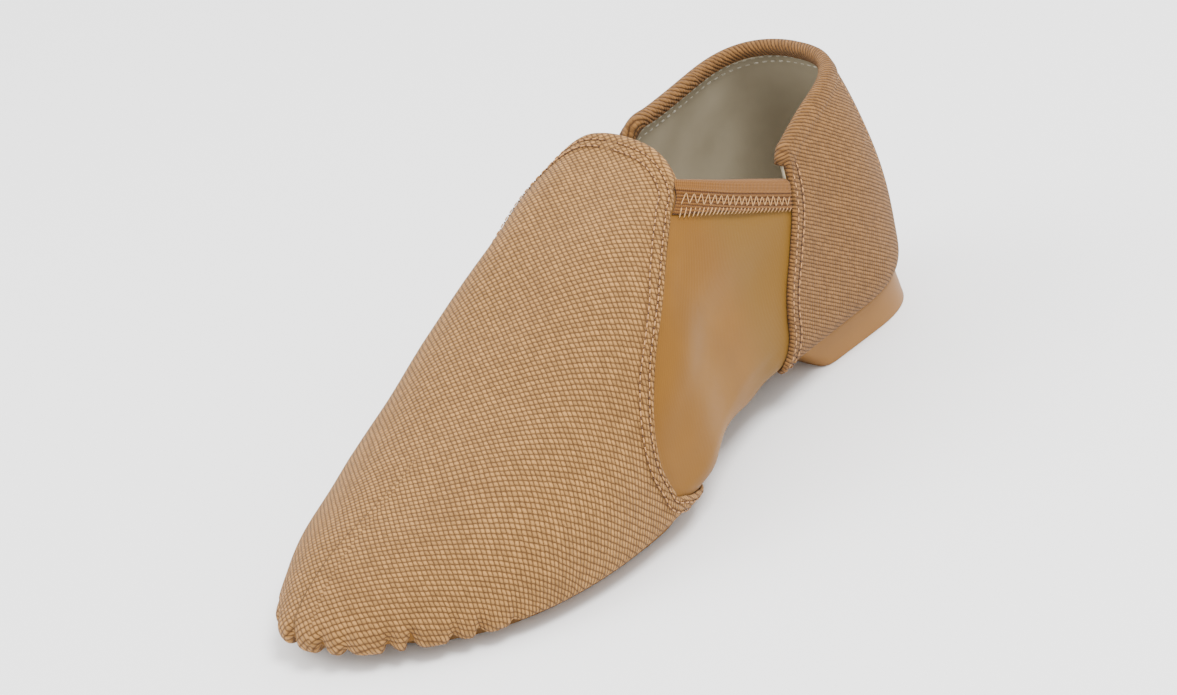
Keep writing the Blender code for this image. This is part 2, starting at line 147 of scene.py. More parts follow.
def skin(spine, fan, outer, turn):
    """Outer face of the sock: a superellipse in plan round the heel and the toe (fan), and another from the
    underside centre (turn -90) by the widest height (0) to the top centre (90)."""
    squareness = np.where(fan < 0, 2.3, 2.15)
    reach = np.where(fan < 0, OVERLAY - HEEL_CENTRE, LENGTH - OVERLAY - TOE_CENTRE)
    angle = np.abs(fan) * np.pi / 2
    along = np.where(fan == 0, 0, np.abs(np.sin(angle)) ** (2 / squareness))
    across = np.where(fan == 0, 1, np.abs(np.cos(angle)) ** (2 / squareness))
    far_x = spine + reach * along
    half = np.where(outer, section("outer", far_x), section("inner", far_x)) * BALL_WIDTH - OVERLAY
    middle_far = section("centre", far_x) * BALL_WIDTH
    far_y = middle_far + np.where(outer, 1, -1) * half * across
    above = turn >= 0
    turned = np.radians(turn)
    under = section("under", spine)
    spread = np.where(above, section("spread", spine), under)
    rise = np.where(above, section("rise", spine), under)
    out = np.where(np.abs(turn) > 89.9, 0, np.abs(np.cos(turned)) ** (2 / spread))
    up = np.abs(np.sin(turned)) ** (2 / rise)
    x = spine + (far_x - spine) * out
    middle = section("centre", x) * BALL_WIDTH
    y = middle + np.where(above, RIDGE_SHIFT * (1 - out), 0) + (far_y - middle) * out
    top = section("crown", x) * INSTEP_HEIGHT
    widest = section("widest", x) * INSTEP_HEIGHT
    bottom = PAD_STACK + section("lift", x) * (HEEL_STACK - PAD_STACK)
    z = np.where(above, widest + (top - widest) * up, widest - (widest - bottom) * up)
    return np.stack([x, y, z], -1)


row_scale = np.linspace(0, TOP_ROW, 361)
stretch_edges = [edge_at("quarter_outer", row_scale), edge_at("quarter_inner", row_scale)]


def place(column, outer, row):
    """Spine X and fan of a column (0 at the back, 32 at the toe tip) at a row (0 underneath, 18 on top)."""
    quarter = np.where(outer, edge_at("quarter_outer", row), edge_at("quarter_inner", row))
    vamp = np.where(outer, edge_at("vamp_outer", row), edge_at("vamp_inner", row))
    spine = HEEL_CENTRE + (quarter - HEEL_CENTRE) * np.clip((column - HEEL_FAN) / 4, 0, 1)
    stretch = np.where(outer, *(np.interp(row, row_scale, edge) for edge in stretch_edges))
    spine = spine + (stretch + SEAM - quarter) * np.clip(column - QUARTER_COLUMN, 0, 1)
    spine = spine + (vamp - stretch - 2 * SEAM) * np.clip((column - QUARTER_COLUMN - 1) / 6, 0, 1)
    spine = spine + SEAM * np.clip(column - VAMP_COLUMN + 1, 0, 1)
    spine = spine + (TOE_CENTRE - vamp) * np.clip((column - VAMP_COLUMN) / 6, 0, 1)
    fan = np.clip((column - HEEL_FAN) / HEEL_FAN, -1, 0) + np.clip((column - TOE_COLUMN) / 8, 0, 1)
    return spine, fan


def turn_at(column, outer, row, below):
    """Turn of the point of a row that lies a given height below the topline."""
    spine, fan = place(column, outer, row)
    turn = np.full(spine.shape, 40.0)
    for _ in range(14):
        low = skin(spine, fan, outer, turn * 0)
        here = skin(spine, fan, outer, turn)
        top = section("crown", here[..., 0]) * INSTEP_HEIGHT
        share = (rim_height(here[..., 0], outer, column) - below - low[..., 2]) / (top - low[..., 2])
        wanted = np.clip(share, 0.01, 0.995) ** (section("rise", spine) / 2)
        turn = 0.5 * turn + 0.5 * np.degrees(np.arcsin(wanted))
    return turn


def turns(column, outer, row):
    """Turn of every row of a column: even steps from the widest height to the elastic's foot, from there to
    the topline, and on to the top centre."""
    held = np.minimum(column, VAMP_COLUMN)
    rim = turn_at(held, outer, row * 0 + RIM_ROW, 0)
    low = turn_at(held, outer, row * 0 + ELASTIC_ROW, ELASTIC_HEIGHT)
    ahead = soft(column, VAMP_COLUMN, TOE_COLUMN)
    rim = rim * (1 - ahead) + FRONT_TURN * ahead
    low = low * (1 - ahead) + (FRONT_TURN - 14) * ahead
    under = np.interp(row, range(8), UNDER_TURNS)
    side = low * (row - SIDE_ROW) / (ELASTIC_ROW - SIDE_ROW)
    band = low + (rim - low) * (row - ELASTIC_ROW) / (RIM_ROW - ELASTIC_ROW)
    top = rim + (90 - rim) * (row - RIM_ROW) / (TOP_ROW - RIM_ROW)
    upper = np.where(row <= RIM_ROW, band, top)
    return np.where(row <= SIDE_ROW, under, np.where(row <= ELASTIC_ROW, side, upper))


for _ in range(3):
    found = []
    for flag, name in ((True, "quarter_outer"), (False, "quarter_inner")):
        flags = np.repeat(flag, len(row_scale))
        behind = turns(row_scale * 0 + QUARTER_COLUMN, flags, row_scale)
        ahead = turns(row_scale * 0 + QUARTER_COLUMN + 1, flags, row_scale)
        found.append(np.interp(ahead, behind, edge_at(name, row_scale)))
    stretch_edges = found
half_way = np.arange(SIDE_COLUMNS + 1.0)
cad_columns = np.concatenate([half_way, half_way[-2:0:-1]])[:, None] + np.zeros(TOP_ROW + 1)
cad_outer = np.repeat((np.arange(2 * SIDE_COLUMNS) <= SIDE_COLUMNS)[:, None], TOP_ROW + 1, 1)
cad_rows = np.zeros((2 * SIDE_COLUMNS, 1)) + np.arange(TOP_ROW + 1.0)
cad_turns = turns(cad_columns, cad_outer, cad_rows)
cad_points = skin(*place(cad_columns, cad_outer, cad_rows), cad_outer, cad_turns)
upper_box = np.array(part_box("upper"))
SHIFT = np.array([*(upper_box[0, :2] - cad_points[..., :2].min(axis=(0, 1))), 0.0])


def on_skin(column, outer, row):
    """Points in the frame, outward unit normals and points before the shift, at columns and rows."""
    spine, fan = place(column, outer, row)
    turn = turns(column, outer, row)
    points = skin(spine, fan, outer, turn)
    flip = np.where(outer, 1.0, -1.0)
    more_turn = skin(spine, fan, outer, np.clip(turn + 0.2, -89.7, 89.8))
    less_turn = skin(spine, fan, outer, np.clip(turn - 0.2, -89.8, 89.7))
    fanned = (np.abs(fan) > 1e-6)[..., None]
    ahead, behind = (
        np.where(
            fanned,
            skin(spine, np.clip(fan + way * 0.01, -1, 1), outer, np.clip(turn, -89, 89)),
            skin(spine + way * 1e-4, fan, outer, turn),
        )
        for way in (1, -1)
    )
    normal = np.cross(ahead - behind, more_turn - less_turn) * -flip[..., None]
    size = np.linalg.norm(normal, axis=-1, keepdims=True)
    normal = normal / np.maximum(size, 1e-16)
    vertical = np.stack([0 * turn, 0 * turn, np.sign(turn)], -1)
    pole = (turn < -89.5)[..., None] | (size < 1e-14)
    normal = np.where(pole, vertical, normal)
    return points + SHIFT, normal, points


def patch(column, outer, row):
    """on_skin over a grid of columns and rows."""
    column, row = np.meshgrid(column, row, indexing="ij")
    return on_skin(column, np.repeat(outer[:, None], column.shape[1], 1), row)


def around(side_columns, ring):
    """Columns up one side and down the other, with a flag for the outer side. ring: closed at the back."""
    back = side_columns[-2:0:-1] if ring else side_columns[-2::-1]
    columns = np.concatenate([side_columns, back])
    return columns, np.arange(len(columns)) < len(side_columns)


def shell(name, outside, inside, keep, ring, uv, marks=None, inner_slot=0):
    """Closed sheet between two grids of points. keep says which cells exist; every free edge gets a rim, and
    points that coincide are merged. marks: named values stored at the points."""
    columns, rows = outside.shape[:2]
    index = np.arange(columns * rows).reshape(columns, rows)
    after = np.roll(index, -1, 0) if ring else index[1:]
    index_here = index if ring else index[:-1]
    a, b = index_here[:, :-1], after[:, :-1]
    c, d = after[:, 1:], index_here[:, 1:]
    count = columns * rows
    front = np.stack([a, b, c, d], -1)[keep]
    back = front[:, ::-1] + count
    absent = np.zeros((keep.shape[0], 1), bool)
    below = np.concatenate([~absent, keep[:, :-1]], 1)
    above = np.concatenate([keep[:, 1:], ~absent], 1)
    if ring:
        before, behind = np.roll(keep, 1, 0), np.roll(keep, -1, 0)
    else:
        none = np.zeros((1, keep.shape[1]), bool)
        before, behind = np.concatenate([none, keep[:-1]]), np.concatenate([keep[1:], none])
    rims = []
    for start, end, beyond in ((a, b, below), (b, c, behind), (c, d, above), (d, a, before)):
        u, v = start[keep & ~beyond], end[keep & ~beyond]
        rims.append(np.stack([v, u, u + count, v + count], -1))
    rims = np.concatenate(rims)
    faces = np.concatenate([front, back, rims])
    points = np.concatenate([outside.reshape(-1, 3), inside.reshape(-1, 3)])
    p = points[faces]
    volume = sum((p[:, 0] * np.cross(p[:, k], p[:, k + 1])).sum() for k in (1, 2))
    if volume < 0:
        faces = faces[:, ::-1]
    slots = np.zeros(len(faces), np.int32)
    slots[len(front) :] = inner_slot
    both = np.concatenate([uv.reshape(-1, 2)] * 2)[faces.ravel()]
    used, faces_flat = np.unique(faces, return_inverse=True)
    points, faces = points[used], faces_flat.reshape(faces.shape)
    mesh = bpy.data.meshes.new(name)
    mesh.from_pydata(points.tolist(), [], faces.tolist())
    mesh.polygons.foreach_set("material_index", slots)
    layer = mesh.uv_layers.new(name="cloth")
    layer.data.foreach_set("uv", both.ravel())
    for mark, values in (marks or {}).items():
        attribute = mesh.attributes.new(mark, "FLOAT", "POINT")
        attribute.data.foreach_set("value", np.concatenate([values.ravel()] * 2)[used])
    obj = bpy.data.objects.new(name, mesh)
    bpy.context.scene.collection.objects.link(obj)
    work = bmesh.new()
    work.from_mesh(mesh)
    bmesh.ops.remove_doubles(work, verts=work.verts, dist=2e-5)
    bmesh.ops.dissolve_degenerate(work, edges=work.edges, dist=1e-6)
    work.to_mesh(mesh)
    work.free()
    mesh.shade_smooth()
    return obj


def run_of(points):
    """Arc length along a line of points."""
    return np.concatenate([[0], np.cumsum(np.linalg.norm(np.diff(points, axis=0), axis=1))])


def run_down(points):
    """Arc length down each column of a grid of points, from its top row."""
    steps_down = np.linalg.norm(np.diff(points, axis=1), axis=-1)
    return np.concatenate([np.cumsum(steps_down[:, ::-1], 1)[:, ::-1], np.zeros((len(points), 1))], 1)


def section_run(points, turn, outer):
    """Arc length in the plane across the shoe, from the widest height (turn 0) up to each point that isn't in
    a fan, read from a table over X and turn."""
    xs, ts = np.linspace(HEEL_CENTRE, TOE_CENTRE, 160), np.linspace(-90, 90, 241)
    found = np.zeros(turn.shape)
    for flag in (True, False):
        x_grid, t_grid = np.meshgrid(xs, ts, indexing="ij")
        table = skin(x_grid, x_grid * 0, np.full(x_grid.shape, flag), t_grid)
        arc = np.linalg.norm(np.diff(table[..., 1:], axis=1), axis=-1)
        arc = np.concatenate([np.zeros((len(xs), 1)), np.cumsum(arc, 1)], 1)
        arc -= arc[:, [120]]
        i = np.clip((points[..., 0] - xs[0]) / (xs[1] - xs[0]), 0, len(xs) - 1.001)
        j = np.clip((turn + 90) / (ts[1] - ts[0]), 0, len(ts) - 1.001)
        i0, j0 = i.astype(int), j.astype(int)
        fi, fj = i - i0, j - j0
        value = (arc[i0, j0] * (1 - fi) + arc[i0 + 1, j0] * fi) * (1 - fj)
        value += (arc[i0, j0 + 1] * (1 - fi) + arc[i0 + 1, j0 + 1] * fi) * fj
        found = np.where(outer == flag, value, found)
    return found


def cells(column, row):
    """Middles of the cells of a grid."""
    return (column[:-1, :-1] + column[1:, 1:]) / 2, (row[:-1, :-1] + row[1:, 1:]) / 2


def steps(*parts):
    """Numbers from several stretches (start, end, count), without repeats."""
    return np.unique(np.round(np.concatenate([np.linspace(lo, hi, n + 1) for lo, hi, n in parts]), 6))


def new_material(name):
    material = bpy.data.materials.new(name)
    material.use_nodes = True
    return material, material.node_tree, material.node_tree.nodes["Principled BSDF"]


def fill(tree, node, **inputs):
    """Sets a node's inputs by name: an output of another node is joined, anything else is its value."""
    for name, value in inputs.items():
        socket = node.inputs[name.replace("_", " ")]
        if isinstance(value, bpy.types.NodeSocket):
            tree.links.new(value, socket)
        else:
            socket.default_value = value
    return node


def new_node(tree, kind, **inputs):
    return fill(tree, tree.nodes.new("ShaderNode" + kind), **inputs)


def new_group(name, values, results):
    """Node group that takes numbers by name and value, or a vector for None, and gives numbers.

    Returns its tree and the nodes at both ends."""
    tree = bpy.data.node_groups.new(name, "ShaderNodeTree")
    for value_name, value in values:
        kind = "NodeSocketVector" if value is None else "NodeSocketFloat"
        socket = tree.interface.new_socket(value_name, in_out="INPUT", socket_type=kind)
        if value is not None:
            socket.default_value = value
    for result in results:
        tree.interface.new_socket(result, in_out="OUTPUT", socket_type="NodeSocketFloat")
    return tree, tree.nodes.new("NodeGroupInput"), tree.nodes.new("NodeGroupOutput")


def group_node(tree, group, **inputs):
    node = tree.nodes.new("ShaderNodeGroup")
    node.node_tree = group
    return fill(tree, node, **inputs)


def attribute(tree, name):
    node = tree.nodes.new("ShaderNodeAttribute")
    node.attribute_name = name
    return node.outputs["Fac"]


def cloth_uv(tree):
    node = tree.nodes.new("ShaderNodeUVMap")
    node.uv_map = "cloth"
    return node.outputs["UV"]


def math_node(tree, operation, first, second=None, third=None):
    node = tree.nodes.new("ShaderNodeMath")
    node.operation = operation
    for socket, value in zip(node.inputs, (first, second, third)):
        if value is None:
            continue
        if isinstance(value, (int, float)):
            socket.default_value = value
        else:
            tree.links.new(value, socket)
    return node.outputs[0]


def noise_group():
    """Two sizes of soft noise on Object coordinates: large blotches and fine fibre."""
    sizes = (("Large", 60.0), ("Fine", 2200.0))
    tree, start, end = new_group("cloth_unevenness", sizes, ("Blotch", "Fibre"))
    place = tree.nodes.new("ShaderNodeTexCoord").outputs["Object"]
    for k in range(2):
        noise = new_node(tree, "TexNoise", Vector=place, Scale=start.outputs[k], Detail=3.0)
        tree.links.new(noise.outputs["Fac"], end.inputs[k])
    return tree


UNEVENNESS = noise_group()


def unevenness(tree, large, fine):
    node = group_node(tree, UNEVENNESS, Large=large, Fine=fine)
    return node.outputs["Blotch"], node.outputs["Fibre"]


def colour_mix(tree, factor, low, high):
    """Colour from low to high as the factor goes from 0 to 1."""
    node = tree.nodes.new("ShaderNodeMix")
    node.data_type = "RGBA"
    low, high = ((*value, 1.0) if isinstance(value, tuple) else value for value in (low, high))
    return fill(tree, node, Factor=factor, A=low, B=high).outputs["Result"]


def spread_to(tree, value, low, high, new_low=0.0, new_high=1.0):
    """The value's place between low and high, moved to between two new ones and held there."""
    limits = {"From_Min": low, "From_Max": high, "To_Min": new_low, "To_Max": new_high}
    return new_node(tree, "MapRange", Value=value, **limits).outputs["Result"]


def blotched(tree, blotch, spread, dark, light):
    """Colour from dark to light with the blotches; the spread sets how soft they are."""
    return colour_mix(tree, spread_to(tree, blotch, 0.5 - spread, 0.5 + spread), dark, light)


def bumped(tree, shader, height, strength, distance, **before):
    """Joins a bump to the shader's normal; before may name the normal that it adds to."""
    bump = new_node(tree, "Bump", Height=height, Strength=strength, Distance=distance, **before)
    fill(tree, shader, Normal=bump.outputs["Normal"])
    return bump.outputs["Normal"]


WARM_BROWN = ((0.140, 0.057, 0.0035), (0.170, 0.071, 0.0050))
# The olive here is painted shade and reflection. It is mixed in towards the heel over the span of X given
# below.
PAINTED_OLIVE_SHADE, RIB_BROWN = (0.140, 0.067, 0.005), (0.080, 0.030, 0.003)
PAINTED_SHADE_SPAN = (0.100, 0.086)
GREY_BEIGE = ((0.30, 0.255, 0.175), (0.37, 0.32, 0.225))
CREAM = (0.66, 0.58, 0.42)


def stretch_material():
    """Golden-brown stretch fabric: a fine diagonal rib of about 0.75 mm on the piece's own UV, soft and matt.
    Towards the heel it is painted more olive, as painted shade and reflection of its sheen."""
    material, tree, shader = new_material("stretch_fabric")
    blotch, fibre = unevenness(tree, 38.0, 1800.0)
    rotation, scale = (0, 0, np.radians(38)), (1333, 1333, 1)
    turned = new_node(tree, "Mapping", Vector=cloth_uv(tree), Rotation=rotation, Scale=scale)
    waves = {"Scale": 0.318, "Distortion": 0.6, "Detail_Scale": 0.4}
    rib = new_node(tree, "TexWave", Vector=turned.outputs["Vector"], **waves).outputs["Fac"]
    place = new_node(tree, "SeparateXYZ", Vector=tree.nodes.new("ShaderNodeTexCoord").outputs["Object"])
    # Painted shade and reflection: towards the heel the colour is mixed up to 85 % olive.
    x_start, x_end = (float(SHIFT[0]) + x for x in PAINTED_SHADE_SPAN)
    painted_shade_share = spread_to(tree, place.outputs["X"], x_start, x_end, 0, 0.85)
    base = colour_mix(tree, painted_shade_share, blotched(tree, blotch, 0.15, *WARM_BROWN), PAINTED_OLIVE_SHADE)
    fine = colour_mix(tree, spread_to(tree, rib, 0, 1, 0, 0.16), base, RIB_BROWN)
    fill(tree, shader, Base_Color=fine, Roughness=0.62, Specular_IOR_Level=0.2)
    fill(tree, shader, Sheen_Weight=0.08, Sheen_Roughness=0.5, Sheen_Tint=(1.0, 0.85, 0.6, 1.0))
    first = bumped(tree, shader, rib, 0.22, 0.00006)
    bumped(tree, shader, fibre, 0.18, 0.00005, Normal=first)
    return material


def lining_material():
    """Greyish beige lining, smooth as thin split leather, with a faint grain. Its folded edge below the rim
    is cream; rim_place is 1 plus the way down from the rim."""
    material, tree, shader = new_material("lining")
    blotch, fibre = unevenness(tree, 45.0, 900.0)
    base = blotched(tree, blotch, 0.2, *GREY_BEIGE)
    off = math_node(tree, "ABSOLUTE", math_node(tree, "SUBTRACT", attribute(tree, "rim_place"), 1.0027))
    base = colour_mix(tree, spread_to(tree, off, 0.0008, 0.00095, 1, 0), base, CREAM)
    fill(tree, shader, Base_Color=base, Roughness=0.68)
    bumped(tree, shader, fibre, 0.12, 0.00008)
    return material


STRETCH = stretch_material()
LINING = lining_material()
sock_columns, sock_outer = around(
    steps((0, 6, 26), (6, 10, 16), (10, 11, 2), (11, 17, 44), (17, 18, 2), (18, 24, 16), (24, 32, 26)), True
)
sock_rows = steps((0, 2, 9), (2, 7, 20), (7, 12, 28), (12, 14, 8), (14, 18, 12))
sock_face, sock_normal, sock_raw = patch(sock_columns, sock_outer, sock_rows)
column_grid, row_grid = np.meshgrid(sock_columns, sock_rows, indexing="ij")
side = np.where(np.repeat(sock_outer[:, None], len(sock_rows), 1), 1.0, -1.0)
in_arch = soft(column_grid, 10.6, 12.2) * (1 - soft(column_grid, 15.8, 17.4))
fold_under = in_arch * (1 - soft(row_grid, 3.0, 7.5))
wander = 0.9 * np.sin(0.7 * row_grid + 0.4) + 0.5 * np.sin(1.9 * row_grid)
folds = 0.00055 * np.sin((column_grid - 10 + 0.35 * wander) * 2.2 + side) * fold_under
folds += 0.0004 * np.sin(row_grid * 1.7 + column_grid * 0.6 + side * 0.8) * in_arch
hollow = -0.0008 * in_arch * soft(row_grid, 6.5, 8.5) * (1 - soft(row_grid, 10.5, 12.2))
seam = -0.0007 * np.exp(-((row_grid / 0.06) ** 2)) * in_arch
pull = -0.0005 * np.exp(-(((row_grid - 11.95) / 0.16) ** 2)) * in_arch
sock_out = sock_face + sock_normal * (folds + hollow + seam + pull)[..., None]
wrinkle = 0.00035 * np.sin(column_grid * 2.1 + 0.6 * row_grid) * np.sin(row_grid * 1.3) * soft(row_grid, 6, 8)
wrinkle *= 1 - soft(row_grid, 12.6, 13.6)
inside = -SOCK_WALL + wrinkle + (folds + hollow) * soft(row_grid, 4.0, 5.0)
sock_in = sock_face + sock_normal * inside[..., None]
cell_column = (column_grid + np.roll(column_grid, -1, 0))[:, :-1] / 2
cell_row = (row_grid[:, :-1] + row_grid[:, 1:]) / 2
sock_keep = ~((cell_row > RIM_ROW) & (cell_column < VAMP_COLUMN))
sock_keep &= ~((cell_row < 2) & ((cell_column < 7) | (cell_column > 20)))
sock_down = run_down(sock_raw[..., 1:])
sock_uv = np.stack([sock_raw[..., 0], sock_down * side], -1)
rim_index = int(np.argmin(np.abs(sock_rows - RIM_ROW)))
rim_place = np.where(column_grid < QUARTER_COLUMN + 0.5, 1 + sock_down - sock_down[:, [rim_index]], 2.0)
sock = shell("sock", sock_out, sock_in, sock_keep, True, sock_uv, {"rim_place": rim_place}, 1)
sock.data.materials.append(STRETCH)
sock.data.materials.append(LINING)
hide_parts("upper")
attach(sock, "root")

# The vamp: one piece of thick plain-weave canvas over the front of the sock. Its edge is folded in and held
# by two rows of stitches, and round the toe the cloth is gathered in small pleats that run under the foot.
HEM_WIDTH = 0.0048
HEM_RISE = 0.0007
SEWN_LINES = (0.0015, 0.0042)
PLEAT_PITCH = 0.0098
PLEAT_DEPTH = 0.0036


def distance_to(points, line):
    """Shortest distance from each point to the points of a line."""
    flat = points.reshape(-1, 3)
    found = np.empty(len(flat))
    for start in range(0, len(flat), 4000):
        piece = flat[start : start + 4000, None, :] - line[None]
        found[start : start + 4000] = np.sqrt((piece**2).sum(-1).min(1))
    return found.reshape(points.shape[:-1])


def hem_of(from_edge):
    """Rise of a folded edge with its inner sewn line pressed in, and the share of the thickness left where
    the fold rounds off."""
    hem = HEM_RISE * (1 - soft(from_edge, HEM_WIDTH - 0.0006, HEM_WIDTH + 0.0006))
    hem -= 0.0005 * np.exp(-(((from_edge - SEWN_LINES[1]) / 0.0006) ** 2))
    return hem, np.sqrt(1 - (1 - np.clip(from_edge / 0.0007, 0, 1)) ** 2)


def weave_group():
    """Plain weave of thick threads. With a and b the places across the two thread systems in thread widths,
    bumps stand where both (a + b) / 2 and (a - b) / 2 are whole: |cos| of each, multiplied. Less beading
    joins the bumps of one diagonal to a ridge. Each bump has its own shade."""
    sizes = (("Vector", None), ("Across", 0.0013), ("Along", 0.0009), ("Uneven", 0.12), ("Beading", 1.0))
    tree, start, end = new_group("canvas_weave", sizes, ("Height", "Shade"))
    place = start.outputs["Vector"]
    wobble = new_node(tree, "TexNoise", Vector=place, Scale=420.0, Detail=1.0)
    parts = new_node(tree, "SeparateXYZ", Vector=place)
    shift = new_node(tree, "SeparateXYZ", Vector=wobble.outputs["Color"])
    a, b = (
        math_node(
            tree,
            "MULTIPLY_ADD",
            math_node(tree, "MULTIPLY", shift.outputs[axis], start.outputs["Uneven"]),
            4.0,
            math_node(tree, "DIVIDE", parts.outputs[axis], start.outputs[width]),
        )
        for axis, width in (("X", "Along"), ("Y", "Across"))
    )
    first = math_node(tree, "MULTIPLY", math_node(tree, "ADD", a, b), 0.5)
    second = math_node(tree, "MULTIPLY", math_node(tree, "SUBTRACT", a, b), 0.5)
    waves = [
        math_node(tree, "ABSOLUTE", math_node(tree, "COSINE", math_node(tree, "MULTIPLY", v, np.pi)))
        for v in (first, second)
    ]
    plain = math_node(tree, "SUBTRACT", 1.0, start.outputs["Beading"])
    beads = math_node(tree, "MULTIPLY_ADD", waves[1], start.outputs["Beading"], plain)
    bump = math_node(tree, "MULTIPLY", waves[0], beads)
    column, row = (math_node(tree, "ROUND", value) for value in (first, second))
    whole = new_node(tree, "CombineXYZ", X=column, Y=row)
    shade = new_node(tree, "TexWhiteNoise", Vector=whole.outputs["Vector"])
    fill(tree, end, Height=bump, Shade=shade.outputs["Value"])
    return tree


WEAVE = weave_group()


def canvas_material(name, turn, across, along, beading, light, dark):
    """Canvas on the piece's own UV, in metres, turned by an angle. The gaps between threads are painted
    darker as shade, and so are the two sewn lines beside a folded edge, as painted shade in their grooves;
    the blotches lean to the same dark."""
    material, tree, shader = new_material(name)
    blotch, fibre = unevenness(tree, 30.0, 2600.0)
    turned = new_node(tree, "Mapping", Vector=cloth_uv(tree), Rotation=(0, 0, np.radians(turn)))
    sizes = {"Across": across, "Along": along, "Beading": beading}
    weave = group_node(tree, WEAVE, Vector=turned.outputs["Vector"], **sizes)
    height = math_node(tree, "MULTIPLY_ADD", fibre, 0.35, weave.outputs["Height"])
    duller, brighter = (tuple(share * v for v in light) for share in (0.82, 1.18))
    tone = colour_mix(tree, weave.outputs["Shade"], duller, brighter)
    tone = colour_mix(tree, spread_to(tree, blotch, 0.3, 0.7, 0, 0.14), tone, dark)
    # Painted shade: where the weave is low, between the threads, the colour goes towards dark.
    cloth = colour_mix(tree, spread_to(tree, height, 0.16, 0.78), dark, tone)
    # Painted shade in the grooves of the two sewn lines beside a folded edge.
    for line in SEWN_LINES:
        off = math_node(tree, "ABSOLUTE", math_node(tree, "SUBTRACT", attribute(tree, "from_edge"), line))
        cloth = colour_mix(tree, spread_to(tree, off, 0, 0.00075, 0.55, 0), cloth, dark)
    fill(tree, shader, Base_Color=cloth, Roughness=0.88, Specular_IOR_Level=0.15)
    fill(tree, shader, Sheen_Weight=0.05, Sheen_Roughness=0.6)
    bumped(tree, shader, height, 1.0, 0.00042)
    return material


# The dark canvas colour serves the blotches. As painted shade it also fills the gaps between threads and the
# sewn lines.
CANVAS_TAN, CANVAS_DARK_AND_SHADE = (0.345, 0.176, 0.054), (0.070, 0.029, 0.007)
CANVAS = canvas_material("vamp_canvas", 0, 0.00132, 0.00090, 1.0, CANVAS_TAN, CANVAS_DARK_AND_SHADE)
vamp_near = np.array([0.0, 0.02, 0.05, 0.10, 0.15, 0.20, 0.26, 0.34, 0.41, 0.48, 0.55, 0.62, 0.70, 0.82])
vamp_columns, vamp_outer = around(
    np.unique(np.concatenate([VAMP_COLUMN + vamp_near, steps((19, 24, 18), (24, 32, 112))])), False
)
vamp_rows = steps((0, 2, 8), (2, 7, 34), (7, 12, 34), (12, 14, 12), (14, 18, 28))
vamp_face, vamp_normal, vamp_raw = patch(vamp_columns, vamp_outer, vamp_rows)
column_grid, row_grid = np.meshgrid(vamp_columns, vamp_rows, indexing="ij")
side = np.where(np.repeat(vamp_outer[:, None], len(vamp_rows), 1), 1.0, -1.0)
fine_rows = np.linspace(0, 18, 500)
edge_lines = [patch(np.array([18.0]), np.array([flag]), fine_rows)[0][0] for flag in (True, False)]
VAMP_EDGE = np.concatenate([edge_lines[0], edge_lines[1][::-1]])
from_edge = distance_to(vamp_face, VAMP_EDGE)
is_tongue = soft(row_grid, 13.2, 14.3)
hem, round_off = hem_of(from_edge)
hem -= 0.0004 * np.exp(-(((from_edge - SEWN_LINES[0]) / 0.0005) ** 2))
round_off = round_off * (1 - is_tongue) + is_tongue
foot_line = int(np.argmin(np.abs(vamp_rows - 6)))
foot = vamp_face[:, foot_line]
along_foot = run_of(foot)
tip = along_foot[len(along_foot) // 2]
first_pleat, last_pleat = tip - 0.066, tip + 0.082
pleats = np.arange(first_pleat, last_pleat, PLEAT_PITCH)
pleats = pleats + 0.0016 * np.sin(np.arange(len(pleats)) * 2.7)
depths = PLEAT_DEPTH * (0.8 + 0.25 * np.cos(np.arange(len(pleats)) * 1.9))
slant = 0.0014 * (row_grid - 5) * 0.5
across_pleat = along_foot[:, None, None] + slant[..., None] - pleats
steep = np.where(across_pleat > 0, 0.0009, 0.0024)
cut = (depths * np.exp(-((across_pleat / steep) ** 2))).sum(-1)
gathered = soft(along_foot, first_pleat - 0.008, first_pleat + 0.01)
gathered = gathered * (1 - soft(along_foot, last_pleat - 0.012, last_pleat + 0.004))
pleat_rows = soft(row_grid, 1.6, 2.8) * (1 - soft(row_grid, 6.0, 9.2))
puff = 0.0015 * gathered[:, None] * soft(row_grid, 2.6, 4.6) * (1 - soft(row_grid, 6.5, 9.5))
pleat_move = puff - cut * pleat_rows * gathered[:, None]
x, y, z = (vamp_face[..., k] for k in range(3))
slack = 0.00030 * np.sin(x * 95 + y * 60) * np.sin(y * 110 - x * 30 + 1.0)
slack += 0.00022 * np.sin(x * 210 + 1.4 * np.sin(y * 90))
slack *= soft(row_grid, 7, 9) * soft(from_edge, 0.004, 0.02)
cloth = (CANVAS_THICKNESS + hem) * round_off + pleat_move + slack
vamp_out = vamp_face + vamp_normal * (GAP + cloth)[..., None]
vamp_in = vamp_face + vamp_normal * (GAP + np.minimum(pleat_move, 0))[..., None]

ROLL_ANGLES = np.radians([15, 35, 60, 90, 120, 145, 165, 180])


def rolled(points, normals, outward_way, share, tuck):
    """Cloth rolled over a free edge: half circles about the middle of the sock's wall, then a flat tuck
    inside. share: 0 where the edge is not rolled, 1 where it is."""
    share = share[..., None]
    middle = points + normals * (GAP * (1 - share) - SOCK_WALL / 2 * share)
    both = []
    for radius in (SOCK_WALL / 2 + OVERLAY + HEM_RISE, SOCK_WALL / 2 + GAP):
        reach = radius * share
        lines = [middle + (normals * np.cos(t) + outward_way * np.sin(t)) * reach for t in ROLL_ANGLES]
        lines += [middle - normals * reach - outward_way * share * length for length in (tuck / 2, tuck)]
        both.append(np.array(lines))
    return both


def along_and_away(line, normals, towards):
    """Unit vectors in the cloth at right angles to a line, pointing away from the inside of the piece."""
    tangent = np.gradient(line, axis=0)
    away = np.cross(tangent, normals)
    away /= np.maximum(np.linalg.norm(away, axis=1, keepdims=True), 1e-12)
    sign = np.sign((away * (line - towards)).sum(1, keepdims=True))
    return away * np.where(sign == 0, 1, sign)


